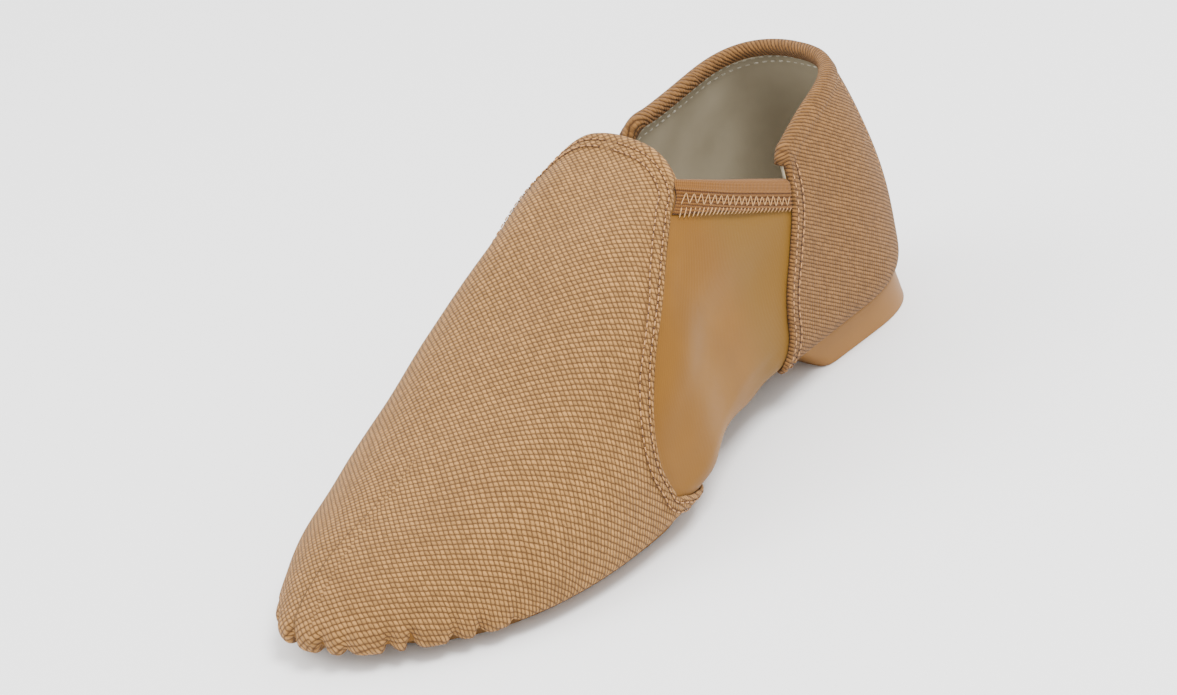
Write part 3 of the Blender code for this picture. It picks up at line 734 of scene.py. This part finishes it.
ends = []
for first, second in ((0, 6), (-1, -7)):
    away = along_and_away(vamp_face[first], vamp_normal[first], vamp_face[second])
    share = soft(vamp_rows, 13.2, 14.3)
    ends.append(rolled(vamp_face[first], vamp_normal[first], away, share, 0.003))
vamp_out = np.concatenate([ends[0][0][::-1], vamp_out, ends[1][0]])
vamp_in = np.concatenate([ends[0][1][::-1], vamp_in, ends[1][1]])
extra = len(ends[0][0])
column_grid = np.pad(column_grid, ((extra, extra), (0, 0)), mode="edge")
row_grid = np.pad(row_grid, ((extra, extra), (0, 0)), mode="edge")
from_edge = np.pad(from_edge, ((extra, extra), (0, 0)))
cell_column, cell_row = cells(column_grid, row_grid)
vamp_keep = ~((cell_row < 2) & (cell_column > 20))
rolls = np.zeros(vamp_keep.shape, bool)
rolls[:extra] = True
rolls[-extra:] = True
vamp_keep &= ~(rolls & (cell_row < 13.2))
ridge_run = run_of(vamp_raw[:, -1])
half = len(vamp_raw) // 2 + 1
spot = np.interp(vamp_raw[..., 0], vamp_raw[:half, -1, 0], ridge_run[:half])
flags = np.repeat(vamp_outer[:, None], len(vamp_rows), 1)
plain_columns, plain_rows = np.meshgrid(vamp_columns, vamp_rows, indexing="ij")
vamp_turn = turns(plain_columns, flags, plain_rows)
to_ridge = section_run(vamp_raw, np.full(vamp_turn.shape, 90.0), flags)
down = to_ridge - section_run(vamp_raw, vamp_turn, flags)
drop = run_down(vamp_raw)
foot_x, foot_y = vamp_raw[:, foot_line, :2].T
bearing = np.arctan2(foot_x - TOE_CENTRE, np.abs(foot_y - RIDGE_SHIFT))[:, None]
in_fan = (vamp_columns > TOE_COLUMN)[:, None]
bearing = np.where(in_fan, np.clip(bearing, 0, np.pi / 2), 0)
pole_run = np.interp(TOE_CENTRE, vamp_raw[:half, -1, 0], ridge_run[:half])
u = np.where(in_fan, pole_run + drop * np.sin(bearing), spot)
v = np.where(in_fan, drop * np.cos(bearing), down) * side
vamp_uv = np.pad(np.stack([u, v], -1), ((extra, extra), (0, 0), (0, 0)), mode="edge")
vamp_uv[:extra, :, 0] -= (np.arange(extra, 0, -1) * 0.0006)[:, None]
vamp_uv[-extra:, :, 0] -= (np.arange(1, extra + 1) * 0.0006)[:, None]
vamp = shell("vamp_canvas", vamp_out, vamp_in, vamp_keep, False, vamp_uv, {"from_edge": from_edge})
vamp.data.materials.append(CANVAS)
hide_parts("vamp")
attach(vamp, "root")

# The quarter: the same canvas cut on the bias and wrapped round the heel. Its top is folded over the sock's
# edge, its front edges are folded in and stitched, and its foot is lasted under the heel block.
# The dark quarter colour serves the blotches. As painted shade it also fills the gaps between threads and the
# sewn lines.
QUARTER_TAN, QUARTER_DARK_AND_SHADE = (0.205, 0.098, 0.030), (0.045, 0.017, 0.003)
BIAS_CANVAS = canvas_material("quarter_canvas", -18, 0.00100, 0.00070, 0.45, QUARTER_TAN, QUARTER_DARK_AND_SHADE)
quarter_side = np.concatenate([steps((0, 6, 66), (6, 9, 24)), QUARTER_COLUMN - vamp_near[::-1]])
half_columns = np.unique(np.round(quarter_side, 6))
quarter_columns = np.concatenate([half_columns[::-1], half_columns[1:]])
quarter_outer = np.arange(len(quarter_columns)) < len(half_columns)
quarter_rows = steps((0, 2, 4), (2, 7, 18), (7, 12, 30), (12, 14, 12))
quarter_face, quarter_normal, quarter_raw = patch(quarter_columns, quarter_outer, quarter_rows)
column_grid, row_grid = np.meshgrid(quarter_columns, quarter_rows, indexing="ij")
edge_rows = np.linspace(0, RIM_ROW, 400)
edge_column = np.array([float(QUARTER_COLUMN)])
edge_lines = [patch(edge_column, np.array([flag]), edge_rows)[0][0] for flag in (True, False)]
from_edge = np.minimum(*(distance_to(quarter_face, line) for line in edge_lines))
hem, round_off = hem_of(from_edge)
top_rise = HEM_RISE * soft(row_grid, 12.9, 13.3)
x, y, z = (quarter_face[..., k] for k in range(3))
slack = 0.00025 * np.sin(z * 120 + x * 60) * np.sin(x * 130 + y * 70)
slack *= soft(row_grid, 5, 8) * soft(from_edge, 0.004, 0.015) * (1 - soft(row_grid, 12.5, 13.5))
cloth = (CANVAS_THICKNESS + hem + top_rise) * round_off + slack
quarter_out = quarter_face + quarter_normal * (GAP + cloth)[..., None]
quarter_in = quarter_face + quarter_normal * GAP
away = along_and_away(quarter_face[:, -1], quarter_normal[:, -1], quarter_face[:, -6])
roll_share = soft(from_edge[:, -1], -0.0001, 0.0008)
roll_out, roll_in = rolled(quarter_face[:, -1], quarter_normal[:, -1], away, roll_share, 0.0016)
quarter_out = np.concatenate([quarter_out, roll_out.transpose(1, 0, 2)], 1)
quarter_in = np.concatenate([quarter_in, roll_in.transpose(1, 0, 2)], 1)
extra = len(ROLL_ANGLES) + 2
column_grid = np.pad(column_grid, ((0, 0), (0, extra)), mode="edge")
row_grid = np.pad(row_grid, ((0, 0), (0, extra)), mode="edge")
from_edge = np.pad(from_edge, ((0, 0), (0, extra)), mode="edge")
cell_column, cell_row = cells(column_grid, row_grid)
quarter_keep = ~((cell_row < 2) & (cell_column < 7))
mid_row = int(np.argmin(np.abs(quarter_rows - SIDE_ROW)))
round_heel = run_of(quarter_raw[:, mid_row])
round_heel = np.abs(round_heel - round_heel[len(half_columns) - 1])
fan_end = np.interp(HEEL_FAN, half_columns, round_heel[: len(half_columns)][::-1])
way = np.where(quarter_outer, -1.0, 1.0)[:, None]
flags = np.repeat(quarter_outer[:, None], len(quarter_rows), 1)
plain_columns, plain_rows = np.meshgrid(quarter_columns, quarter_rows, indexing="ij")
quarter_turn = turns(plain_columns, flags, plain_rows)
climb = np.linalg.norm(np.diff(quarter_raw, axis=1), axis=-1)
climb = np.concatenate([np.zeros((len(climb), 1)), np.cumsum(climb, 1)], 1)
climb -= climb[:, [mid_row]]
in_fan = (quarter_columns < HEEL_FAN)[:, None]
u = way * np.where(in_fan, round_heel[:, None], fan_end + quarter_raw[..., 0] - HEEL_CENTRE)
v = np.where(in_fan, climb, section_run(quarter_raw, quarter_turn, flags))
quarter_uv = np.stack([u, v], -1)
quarter_uv = np.pad(quarter_uv, ((0, 0), (0, extra), (0, 0)), mode="edge")
quarter_uv[:, -extra:, 1] += np.arange(1, extra + 1) * 0.0006
marks = {"from_edge": from_edge}
quarter = shell("quarter_canvas", quarter_out, quarter_in, quarter_keep, False, quarter_uv, marks)
quarter.data.materials.append(BIAS_CANVAS)
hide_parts("quarter")
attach(quarter, "root")

# The bindings: a woven elastic on each side of the opening, folded over the sock's edge. Its top is a plain
# folded band; below it run ribs, and its foot is sewn down with small loops.
ELASTIC_THICKNESS = 0.0012
FIRST_RIB, RIB_PITCH = 0.0029, 0.00118
ELASTIC_BROWN = ((0.105, 0.040, 0.007), (0.200, 0.085, 0.018))
# Dark brown of painted shade for the grooves between the elastic's ribs.
RIB_GROOVE_SHADE = (0.06, 0.022, 0.007)


def elastic_material():
    """Matt woven elastic: fine cross threads of 0.5 mm along the band, on the piece's own UV, with painted
    shade in the grooves between the ribs below the plain top band.
    """
    material, tree, shader = new_material("elastic_binding")
    _, fibre = unevenness(tree, 60.0, 2400.0)
    parts = new_node(tree, "SeparateXYZ", Vector=cloth_uv(tree))
    threads, lines = (
        math_node(tree, "SINE", math_node(tree, "MULTIPLY", parts.outputs[axis], 2 * np.pi / pitch))
        for axis, pitch in (("X", 0.0006), ("Y", 0.0008))
    )
    height = math_node(tree, "MULTIPLY_ADD", lines, 0.5, threads)
    height = math_node(tree, "MULTIPLY_ADD", fibre, 1.2, height)
    base = colour_mix(tree, spread_to(tree, height, -1.0, 2.0), *ELASTIC_BROWN)
    from_first = math_node(tree, "SUBTRACT", parts.outputs["Y"], FIRST_RIB)
    ribs = math_node(tree, "COSINE", math_node(tree, "MULTIPLY", from_first, 2 * np.pi / RIB_PITCH))
    # Painted shade: below the plain top band, the grooves between the ribs are mixed towards dark brown.
    below = spread_to(tree, parts.outputs["Y"], 0.0019, 0.0022)
    between = math_node(tree, "MULTIPLY", below, spread_to(tree, ribs, 0.1, -0.8, 0, 0.8))
    base = colour_mix(tree, between, base, RIB_GROOVE_SHADE)
    fill(tree, shader, Base_Color=base, Roughness=0.82, Specular_IOR_Level=0.15, Sheen_Weight=0.1)
    bumped(tree, shader, height, 0.5, 0.00012)
    return material


ELASTIC = elastic_material()
band_rows = steps((12, 14, 60))
band_columns = steps((10.96, 11, 1), (11, 17, 110), (17, 17.04, 1))
for side_name, flag in (("outer", True), ("inner", False)):
    face, normal, raw = patch(band_columns, np.repeat(flag, len(band_columns)), band_rows)
    down, run = run_down(raw), run_of(raw[:, -1])
    in_ribs = soft(down, 0.0022, 0.0026)
    rib = 0.00022 * (np.cos((down - FIRST_RIB) * 2 * np.pi / RIB_PITCH)) * in_ribs
    rib += 0.00035 * (1 - soft(down, 0.0019, 0.0023)) - 0.00018 * np.exp(-(((down - 0.0011) / 0.0003) ** 2))
    foot_round = np.sqrt(1 - (1 - np.clip((down.max(1, keepdims=True) - down) / 0.0006, 0, 1)) ** 2)
    ends_round = np.minimum(run, run[-1] - run)[:, None]
    ends_round = np.sqrt(1 - (1 - np.clip(ends_round / 0.0004 + 0.3, 0, 1)) ** 2)
    wave = 0.00012 * np.sin(run * 2 * np.pi / 0.0041)[:, None] * soft(down, 0.004, 0.009)
    thick = (ELASTIC_THICKNESS - 0.0003 + rib + wave) * foot_round * ends_round
    out = face + normal * (GAP + thick)[..., None]
    into = face + normal * GAP
    away = along_and_away(face[:, -1], normal[:, -1], face[:, -6])
    roll_out, roll_in = rolled(face[:, -1], normal[:, -1], away, np.ones(len(face)), 0.0030)
    out = np.concatenate([out, roll_out.transpose(1, 0, 2)], 1)
    into = np.concatenate([into, roll_in.transpose(1, 0, 2)], 1)
    extra = len(ROLL_ANGLES) + 2
    uv = np.stack([np.repeat(run[:, None], down.shape[1], 1), down], -1)
    uv = np.pad(uv, ((0, 0), (0, extra), (0, 0)), mode="edge")
    uv[:, -extra:, 1] -= np.arange(1, extra + 1) * 0.0006
    keep = np.ones((len(face) - 1, out.shape[1] - 1), bool)
    band = shell("elastic_" + side_name, out, into, keep, False, uv)
    band.data.materials.append(ELASTIC)
    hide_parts("binding_" + side_name)
    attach(band, "root")

# The insole: a thin foam sheet covered with the lining's split leather, lying loose on the sock's floor.
INSOLE_THICKNESS = 0.0020
insole_columns, insole_outer = around(steps((0, 6, 24), (6, 24, 60), (24, 32, 32)), True)
insole_rows = steps((0, 3.6, 16), (3.6, 4, 6))
face, normal, raw = patch(insole_columns, insole_outer, insole_rows)
edge_share = (insole_rows / 4)[None, :]
crown = 0.0005 * np.sqrt(np.clip((1 - edge_share) / 0.12, 0, 1))
top = face + normal * (-SOCK_WALL - GAP - INSOLE_THICKNESS + 0.0005 - crown)[..., None]
under = face + normal * (-SOCK_WALL - GAP)
insole_keep = np.ones((len(insole_columns), len(insole_rows) - 1), bool)
insole = shell("insole_sheet", under, top, insole_keep, True, raw[..., :2])
insole.data.materials.append(LINING)
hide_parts("insole")
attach(insole, "root")

# The forefoot pad and the heel block: moulded EVA. Below, a tread of small pyramids is cut by two sets of
# grooves that cross at right angles; the heel's sides are smooth and spread towards the floor.
TREAD_PITCH = 0.0028
TREAD_DEPTH = 0.0008
PAD_THICKNESS = 0.0025
INSET = 0.985
PAD_OUTLINE = (
    (0.928, -0.077, 2.25),
    (0.614, 0.433, 2.30),
    (0.504, 0.019, 2.40),
    (0.690, -0.411, 2.25),
)
HEEL_TOP = (
    (0.256, 0.000, 14.00),
    (0.128, 0.264, 2.80),
    (0.014, 0.000, 2.80),
    (0.128, -0.260, 14.00),
)
HEEL_BOTTOM = (
    (0.218, 0.000, 14.00),
    (0.124, 0.268, 2.80),
    (0.004, 0.000, 2.80),
    (0.124, -0.264, 14.00),
)


def outline(extremes, spokes):
    """Closed plan outline: four quarters, each from one extreme point to the next."""
    found = []
    for k, start in enumerate(extremes):
        end = extremes[(k + 1) % 4]
        t = np.pi / 2 * np.arange(spokes // 4) / (spokes // 4)
        near, away = np.cos(t) ** (2 / start[2]), np.sin(t) ** (2 / start[2])
        first, other = k % 2, 1 - k % 2
        curve = np.empty((spokes // 4, 2))
        curve[:, first] = end[first] + (start[first] - end[first]) * near
        curve[:, other] = start[other] + (end[other] - start[other]) * away
        found.append(curve)
    return np.concatenate(found) * (LENGTH, BALL_WIDTH)


def even(line, count):
    """A closed plan line with points at equal steps, starting where it started."""
    closed = np.concatenate([line, line[:1]])
    run = run_of(closed)
    at = np.linspace(0, run[-1], count, endpoint=False)
    return np.stack([np.interp(at, run, closed[:, k]) for k in (0, 1)], -1)


def seat_heights():
    """The underside of the shoe as a fine net, for reading its height above any point of the floor."""
    columns, outer = around(steps((0, 6, 60), (6, 24, 180), (24, 32, 60)), True)
    face, normal, _ = patch(columns, outer, steps((0, 7, 56)))
    lowered = face + normal * (OVERLAY + SEAT_GAP)
    count, rows = lowered.shape[:2]
    index = np.arange(count * rows).reshape(count, rows)
    after = np.roll(index, -1, 0)
    quads = np.stack([index[:, :-1], after[:, :-1], after[:, 1:], index[:, 1:]], -1).reshape(-1, 4)
    return BVHTree.FromPolygons(lowered.reshape(-1, 3).tolist(), quads.tolist())


SEAT = seat_heights()


def height_under(plan):
    """Height of the underside above each point of a plan grid."""
    flat = plan.reshape(-1, 2) + SHIFT[:2]
    hits = [SEAT.ray_cast(Vector((x, y, -0.1)), Vector((0, 0, 1)))[0] for x, y in flat]
    return np.array([hit.z for hit in hits]).reshape(plan.shape[:-1])


def tread(plan):
    """Height of the tread above the floor: pyramids between grooves at 45 degrees."""
    a = (plan[..., 0] + plan[..., 1]) / np.sqrt(2) / TREAD_PITCH
    b = (plan[..., 0] - plan[..., 1]) / np.sqrt(2) / TREAD_PITCH
    away = np.maximum(np.abs(a - np.round(a)), np.abs(b - np.round(b))) * 2
    return TREAD_DEPTH * np.clip((away - 0.35) / 0.65, 0, 1)


def foam_material(name, light, dark, roughness):
    """Moulded foam: faint blotches and a fine skin."""
    material, tree, shader = new_material(name)
    blotch, fibre = unevenness(tree, 55.0, 3200.0)
    base = blotched(tree, blotch, 0.2, dark, light)
    fill(tree, shader, Base_Color=base, Roughness=roughness, Specular_IOR_Level=0.25)
    bumped(tree, shader, fibre, 0.15, 0.00006)
    return material


def object_of(name, points, quads, materials):
    """Mesh object from points and quads, with its materials in order."""
    mesh = bpy.data.meshes.new(name)
    mesh.from_pydata(points.reshape(-1, 3).tolist(), [], quads.reshape(-1, 4).tolist())
    obj = bpy.data.objects.new(name, mesh)
    bpy.context.scene.collection.objects.link(obj)
    for material in materials:
        mesh.materials.append(material)
    return obj


def closed_up(obj, merge):
    """Merges points that coincide, and turns the faces outwards."""
    work = bmesh.new()
    work.from_mesh(obj.data)
    bmesh.ops.remove_doubles(work, verts=work.verts, dist=merge)
    bmesh.ops.recalc_face_normals(work, faces=work.faces)
    work.to_mesh(obj.data)
    work.free()
    obj.data.shade_smooth()


def sole_piece(name, top_edge, bottom_edge, bottom_of, skin_material, tread_material):
    """Closed block between the underside of the shoe and a treaded bottom. Rings run from the middle of the
    bottom out to its edge, up the side and back to the middle of the top."""
    count = 360
    low = even(outline(bottom_edge, 720), count)
    high = even(outline(top_edge, 720), count)
    low_middle = (low.max(0) + low.min(0)) / 2
    high_middle = (high.max(0) + high.min(0)) / 2
    reach = np.linspace(0, 1, 62) ** 0.85
    plan_low = low_middle + (low[None] - low_middle) * (reach * INSET)[:, None, None]
    fade = np.clip((1 - reach) / 0.03, 0, 1)[:, None]
    ground = bottom_of(height_under(plan_low)) + tread(plan_low) * fade
    rings = [np.concatenate([plan_low, ground[..., None]], -1)]
    low_edge = bottom_of(height_under(low_middle + (low - low_middle) * INSET))
    high_edge = height_under(high_middle + (high - high_middle) * INSET)
    for share in (0.04, 0.12, 0.3, 0.5, 0.7, 0.88, 0.96):
        plan = low + (high - low) * share
        outward_way = plan - plan.mean(0)
        outward_way /= np.linalg.norm(outward_way, axis=1, keepdims=True)
        pull = 0.00025 * max(0, 1 - min(share, 1 - share) / 0.08) ** 2
        plan = plan - outward_way * pull
        z = low_edge + (high_edge - low_edge) * share
        rings.append(np.concatenate([plan, z[:, None]], -1)[None])
    back = reach[::-3]
    plan_high = high_middle + (high[None] - high_middle) * (back * INSET)[:, None, None]
    rings.append(np.concatenate([plan_high, height_under(plan_high)[..., None]], -1))
    grid = np.concatenate(rings) + SHIFT
    rows = len(grid)
    index = np.arange(rows * count).reshape(rows, count)
    quads = np.stack([index[:-1], np.roll(index, -1, 1)[:-1], np.roll(index, -1, 1)[1:], index[1:]], -1)
    slots = np.repeat((np.arange(rows - 1) < len(reach) - 2)[:, None], count, 1).ravel()
    obj = object_of(name, grid, quads, (skin_material, tread_material))
    obj.data.polygons.foreach_set("material_index", slots.astype(np.int32))
    closed_up(obj, 2e-6)
    obj.data.set_sharp_from_angle(angle=np.radians(35))
    return obj


EVA_SIDE = foam_material("eva_side", (0.225, 0.105, 0.025), (0.200, 0.092, 0.021), 0.5)
EVA_TREAD = foam_material("eva_tread", (0.140, 0.063, 0.019), (0.10, 0.044, 0.013), 0.7)
EVA_PAD = foam_material("eva_pad", (0.215, 0.110, 0.036), (0.18, 0.090, 0.028), 0.65)


def pad_bottom(top):
    """The pad's thickness below the shoe, flat where that reaches the floor."""
    return np.maximum(0, top - PAD_THICKNESS - 0.0006)


pad = sole_piece("eva_forefoot_pad", PAD_OUTLINE, PAD_OUTLINE, pad_bottom, EVA_PAD, EVA_PAD)
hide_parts("forefoot_pad")
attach(pad, "root")
heel = sole_piece("eva_heel_block", HEEL_TOP, HEEL_BOTTOM, np.zeros_like, EVA_SIDE, EVA_TREAD)
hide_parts("heel_block")
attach(heel, "root")

# The stitching: thick cotton thread in two rows along every folded canvas edge, with a short dark thread
# after each stitch as painted shade in its needle hole, a zigzag and small loops on the elastic, and two rows
# inside the collar that hold the lining.
THREAD, STITCH = 0.00046, 0.0026
COUNTER_COLUMN = 3.4
LINING_ROWS = (13.05, 12.5)


def thread_material(name, colour):
    """Cotton thread, darker between its fibres."""
    material, tree, shader = new_material(name)
    _, fibre = unevenness(tree, 400.0, 5200.0)
    base = colour_mix(tree, spread_to(tree, fibre, 0.3, 0.6), tuple(0.62 * v for v in colour), colour)
    fill(tree, shader, Base_Color=base, Roughness=0.7)
    return material


def stitches(name, places, material, width=THREAD, arch=0.00022):
    """Short threads between lists of starts and ends, with normals: a round section that narrows to a point
    at both ends, where the thread dips into the cloth, along an arch over it."""
    starts, ends, normals = (np.concatenate(v) for v in zip(*places))
    rings, sides = 7, 6
    t = np.linspace(0, 1, rings)[None, :, None]
    radius = width / 2 * np.sqrt(np.clip(1 - (2 * t - 1) ** 4, 0, 1))
    lift = arch * (1 - (2 * t - 1) ** 4) - width * 0.35
    middle = starts[:, None] + (ends - starts)[:, None] * t + normals[:, None] * lift
    along = (ends - starts) / np.linalg.norm(ends - starts, axis=1, keepdims=True)
    across = np.cross(along, normals)
    across /= np.linalg.norm(across, axis=1, keepdims=True)
    angle = (2 * np.pi * np.arange(sides) / sides)[None, None, :, None]
    ring = across[:, None, None] * np.cos(angle) + normals[:, None, None] * np.sin(angle)
    points = middle[:, :, None] + ring * radius[..., None]
    index = np.arange(points.shape[0] * rings * sides).reshape(-1, rings, sides)
    turned = np.roll(index, -1, 2)
    quads = np.stack([index[:, :-1], turned[:, :-1], turned[:, 1:], index[:, 1:]], -1)
    obj = object_of(name, points, quads, (material,))
    closed_up(obj, 1e-7)
    return obj


def stepped(points, normals, pitch, share):
    """Starts, ends and normals of stitches at an even pitch along a line."""
    run = run_of(points)
    count = int(run[-1] / pitch)
    first = (np.arange(count) + 0.5 - share / 2) * run[-1] / count

    def at(where):
        return np.stack([np.interp(where, run, points[:, k]) for k in range(3)], -1)

    n = np.stack([np.interp(first + pitch / 2, run, normals[:, k]) for k in range(3)], -1)
    return at(first), at(first + share * run[-1] / count), n / np.linalg.norm(n, axis=1, keepdims=True)


def beside_edge(edge_column, outer, top_row, away, inward, low_row=0.0):
    """Line at a distance from a canvas edge: at each row, the column that far from the edge's points."""
    rows = np.linspace(low_row, top_row, 200)
    edge = patch(np.array([float(edge_column)]), np.array([outer]), np.linspace(low_row, top_row, 600))[0][0]
    tries = edge_column + inward * np.linspace(0, 1.3, 27)
    grid = patch(tries, np.repeat(outer, len(tries)), rows)[0]
    gaps = distance_to(grid, edge)
    column = np.array([np.interp(away, gaps[:, k], tries) for k in range(len(rows))])
    points, normals, _ = on_skin(column, np.repeat(outer, len(rows)), rows)
    return points, normals


CANVAS_THREAD = thread_material("canvas_thread", (0.43, 0.215, 0.075))
PALE_THREAD = thread_material("lining_thread", (0.68, 0.63, 0.50))
HOLE_SHADE = thread_material("painted_hole_shade", (0.075, 0.027, 0.007))
ELASTIC_THREAD = thread_material("elastic_thread", (0.46, 0.255, 0.10))
above_cloth = GAP + CANVAS_THICKNESS + HEM_RISE
gathered_stitches = []
for outer_side in (True, False):
    for edge_column, top_row, inward in ((VAMP_COLUMN, 17.9, 1), (QUARTER_COLUMN, 13.7, -1)):
        for away in SEWN_LINES:
            points, normals = beside_edge(edge_column, outer_side, top_row, away, inward, 2.0)
            gathered_stitches.append(stepped(points + normals * above_cloth, normals, STITCH, 0.72))
    rows = np.linspace(8.2, 13.2, 60)
    points, normals, _ = on_skin(rows * 0 + COUNTER_COLUMN, np.repeat(outer_side, len(rows)), rows)
    gathered_stitches.append(stepped(points + normals * (GAP + CANVAS_THICKNESS), normals, 0.0022, 0.6))
# Painted shade: a short dark thread just past the end of each stitch stands for the shade in its needle hole.
hole_shade_places = []
for starts, finishes, normals in gathered_stitches:
    ahead = (finishes - starts) / np.linalg.norm(finishes - starts, axis=1, keepdims=True)
    hole_shade_places.append((finishes, finishes + ahead * 0.0006, normals))
hole_shade_mesh = stitches("painted_hole_shades", hole_shade_places, HOLE_SHADE, 0.00052, 0.00004)
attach(hole_shade_mesh, "root")
edge_stitches = stitches("canvas_stitches", gathered_stitches, CANVAS_THREAD)
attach(edge_stitches, "root")

collar = np.concatenate([np.linspace(9.7, 0, 120), np.linspace(0, 9.7, 120)[1:]])
collar_outer = np.arange(len(collar)) < 120
inside_stitches = []
for row in LINING_ROWS:
    points, normals, _ = on_skin(collar, collar_outer, collar * 0 + row)
    inside_stitches.append(stepped(points - normals * SOCK_WALL, -normals, 0.0028, 0.68))
lining_stitches = stitches("lining_stitches", inside_stitches, PALE_THREAD, 0.0006)
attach(lining_stitches, "root")

zigzags, loops = [], []
for outer_side in (True, False):
    columns = np.linspace(11.05, 16.95, 200)
    flags = np.repeat(outer_side, len(columns))
    line = on_skin(columns, flags, columns * 0 + 13)[0]
    run = run_of(line)
    at = np.arange(0.0008, run[-1] - 0.0006, 0.00125)
    column = np.interp(at, run, columns)
    row = np.where(np.arange(len(at)) % 2 == 0, 13.15, 12.3) + 0.04 * np.sin(np.arange(len(at)) * 2.3)
    points, normals, _ = on_skin(column, np.repeat(outer_side, len(at)), row)
    points = points + normals * (GAP + ELASTIC_THICKNESS + 0.00005)
    zigzags.append((points[:-1], points[1:], (normals[:-1] + normals[1:]) / 2))
    at = np.arange(0.0006, run[-1] - 0.0006, 0.0015)
    column = np.interp(at, run, columns)
    flags = np.repeat(outer_side, len(at))
    top, normals, _ = on_skin(column, flags, column * 0 + 12.22)
    foot, _, _ = on_skin(column - 0.05, flags, column * 0 + 11.9)
    loops.append((top + normals * (GAP + ELASTIC_THICKNESS), foot + normals * 0.0002, normals))
zigzag = stitches("elastic_zigzag", zigzags, ELASTIC_THREAD, 0.00030, 0.00012)
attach(zigzag, "root")
foot_loops = stitches("elastic_loops", loops, ELASTIC_THREAD, 0.00042, 0.00030)
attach(foot_loops, "root")

# Floor, light and camera. The camera keeps the photo's angle to this shoe, rolled as the photo is.
floor_mesh = bpy.data.meshes.new("floor")
floor_mesh.from_pydata([(-2, -2, 0), (2, -2, 0), (2, 2, 0), (-2, 2, 0)], [], [(0, 1, 2, 3)])
floor = bpy.data.objects.new("floor", floor_mesh)
bpy.context.scene.collection.objects.link(floor)
floor_material, floor_tree, floor_shader = new_material("floor")
fill(floor_tree, floor_shader, Base_Color=(0.92, 0.92, 0.92, 1.0), Roughness=0.9)
floor_mesh.materials.append(floor_material)
world = bpy.data.worlds.new("studio")
world.use_nodes = True
fill(world.node_tree, world.node_tree.nodes["Background"], Color=(1.0, 1.0, 1.0, 1.0), Strength=1.85)
bpy.context.scene.world = world

CAMERA_TURN, CAMERA_RISE, CAMERA_ROLL = np.radians((50.4, 28.3, 14.0))
CAMERA_DISTANCE = 1.05
CAMERA_AIM = np.array([0.1236, -0.0012, 0.04]) + SHIFT
level = np.array([np.cos(CAMERA_TURN), np.sin(CAMERA_TURN), 0])
back = np.cos(CAMERA_RISE) * level + np.sin(CAMERA_RISE) * np.array([0, 0, 1])
right = np.cross([0, 0, 1], back)
right /= np.linalg.norm(right)
up = np.cross(back, right)
tilted_right = np.cos(CAMERA_ROLL) * right - np.sin(CAMERA_ROLL) * up
tilted_up = np.cos(CAMERA_ROLL) * up + np.sin(CAMERA_ROLL) * right
camera_data = bpy.data.cameras.new("camera")
camera_data.lens = 105.0
camera_data.sensor_width = 36.0
camera_data.dof.use_dof = False
camera = bpy.data.objects.new("camera", camera_data)
frame_matrix = Matrix.Identity(4)
for row in range(3):
    for column, axis in enumerate((tilted_right, tilted_up, back)):
        frame_matrix[row][column] = axis[row]
    frame_matrix[row][3] = (CAMERA_AIM + back * CAMERA_DISTANCE)[row]
camera.matrix_world = frame_matrix
bpy.context.scene.collection.objects.link(camera)
bpy.context.scene.camera = camera


def area_light(name, place, size, power):
    """Square light aimed at the shoe."""
    data = bpy.data.lights.new(name, "AREA")
    data.size = size
    data.energy = power
    lamp = bpy.data.objects.new(name, data)
    lamp.location = place
    lamp.rotation_euler = (Vector((0, 0, 0.04)) - Vector(place)).to_track_quat("-Z", "Y").to_euler()
    bpy.context.scene.collection.objects.link(lamp)


area_light("key", (-0.2, 0.7, 1.6), 0.7, 44.0)
area_light("fill", (0.9, -0.9, 1.2), 1.0, 16.0)
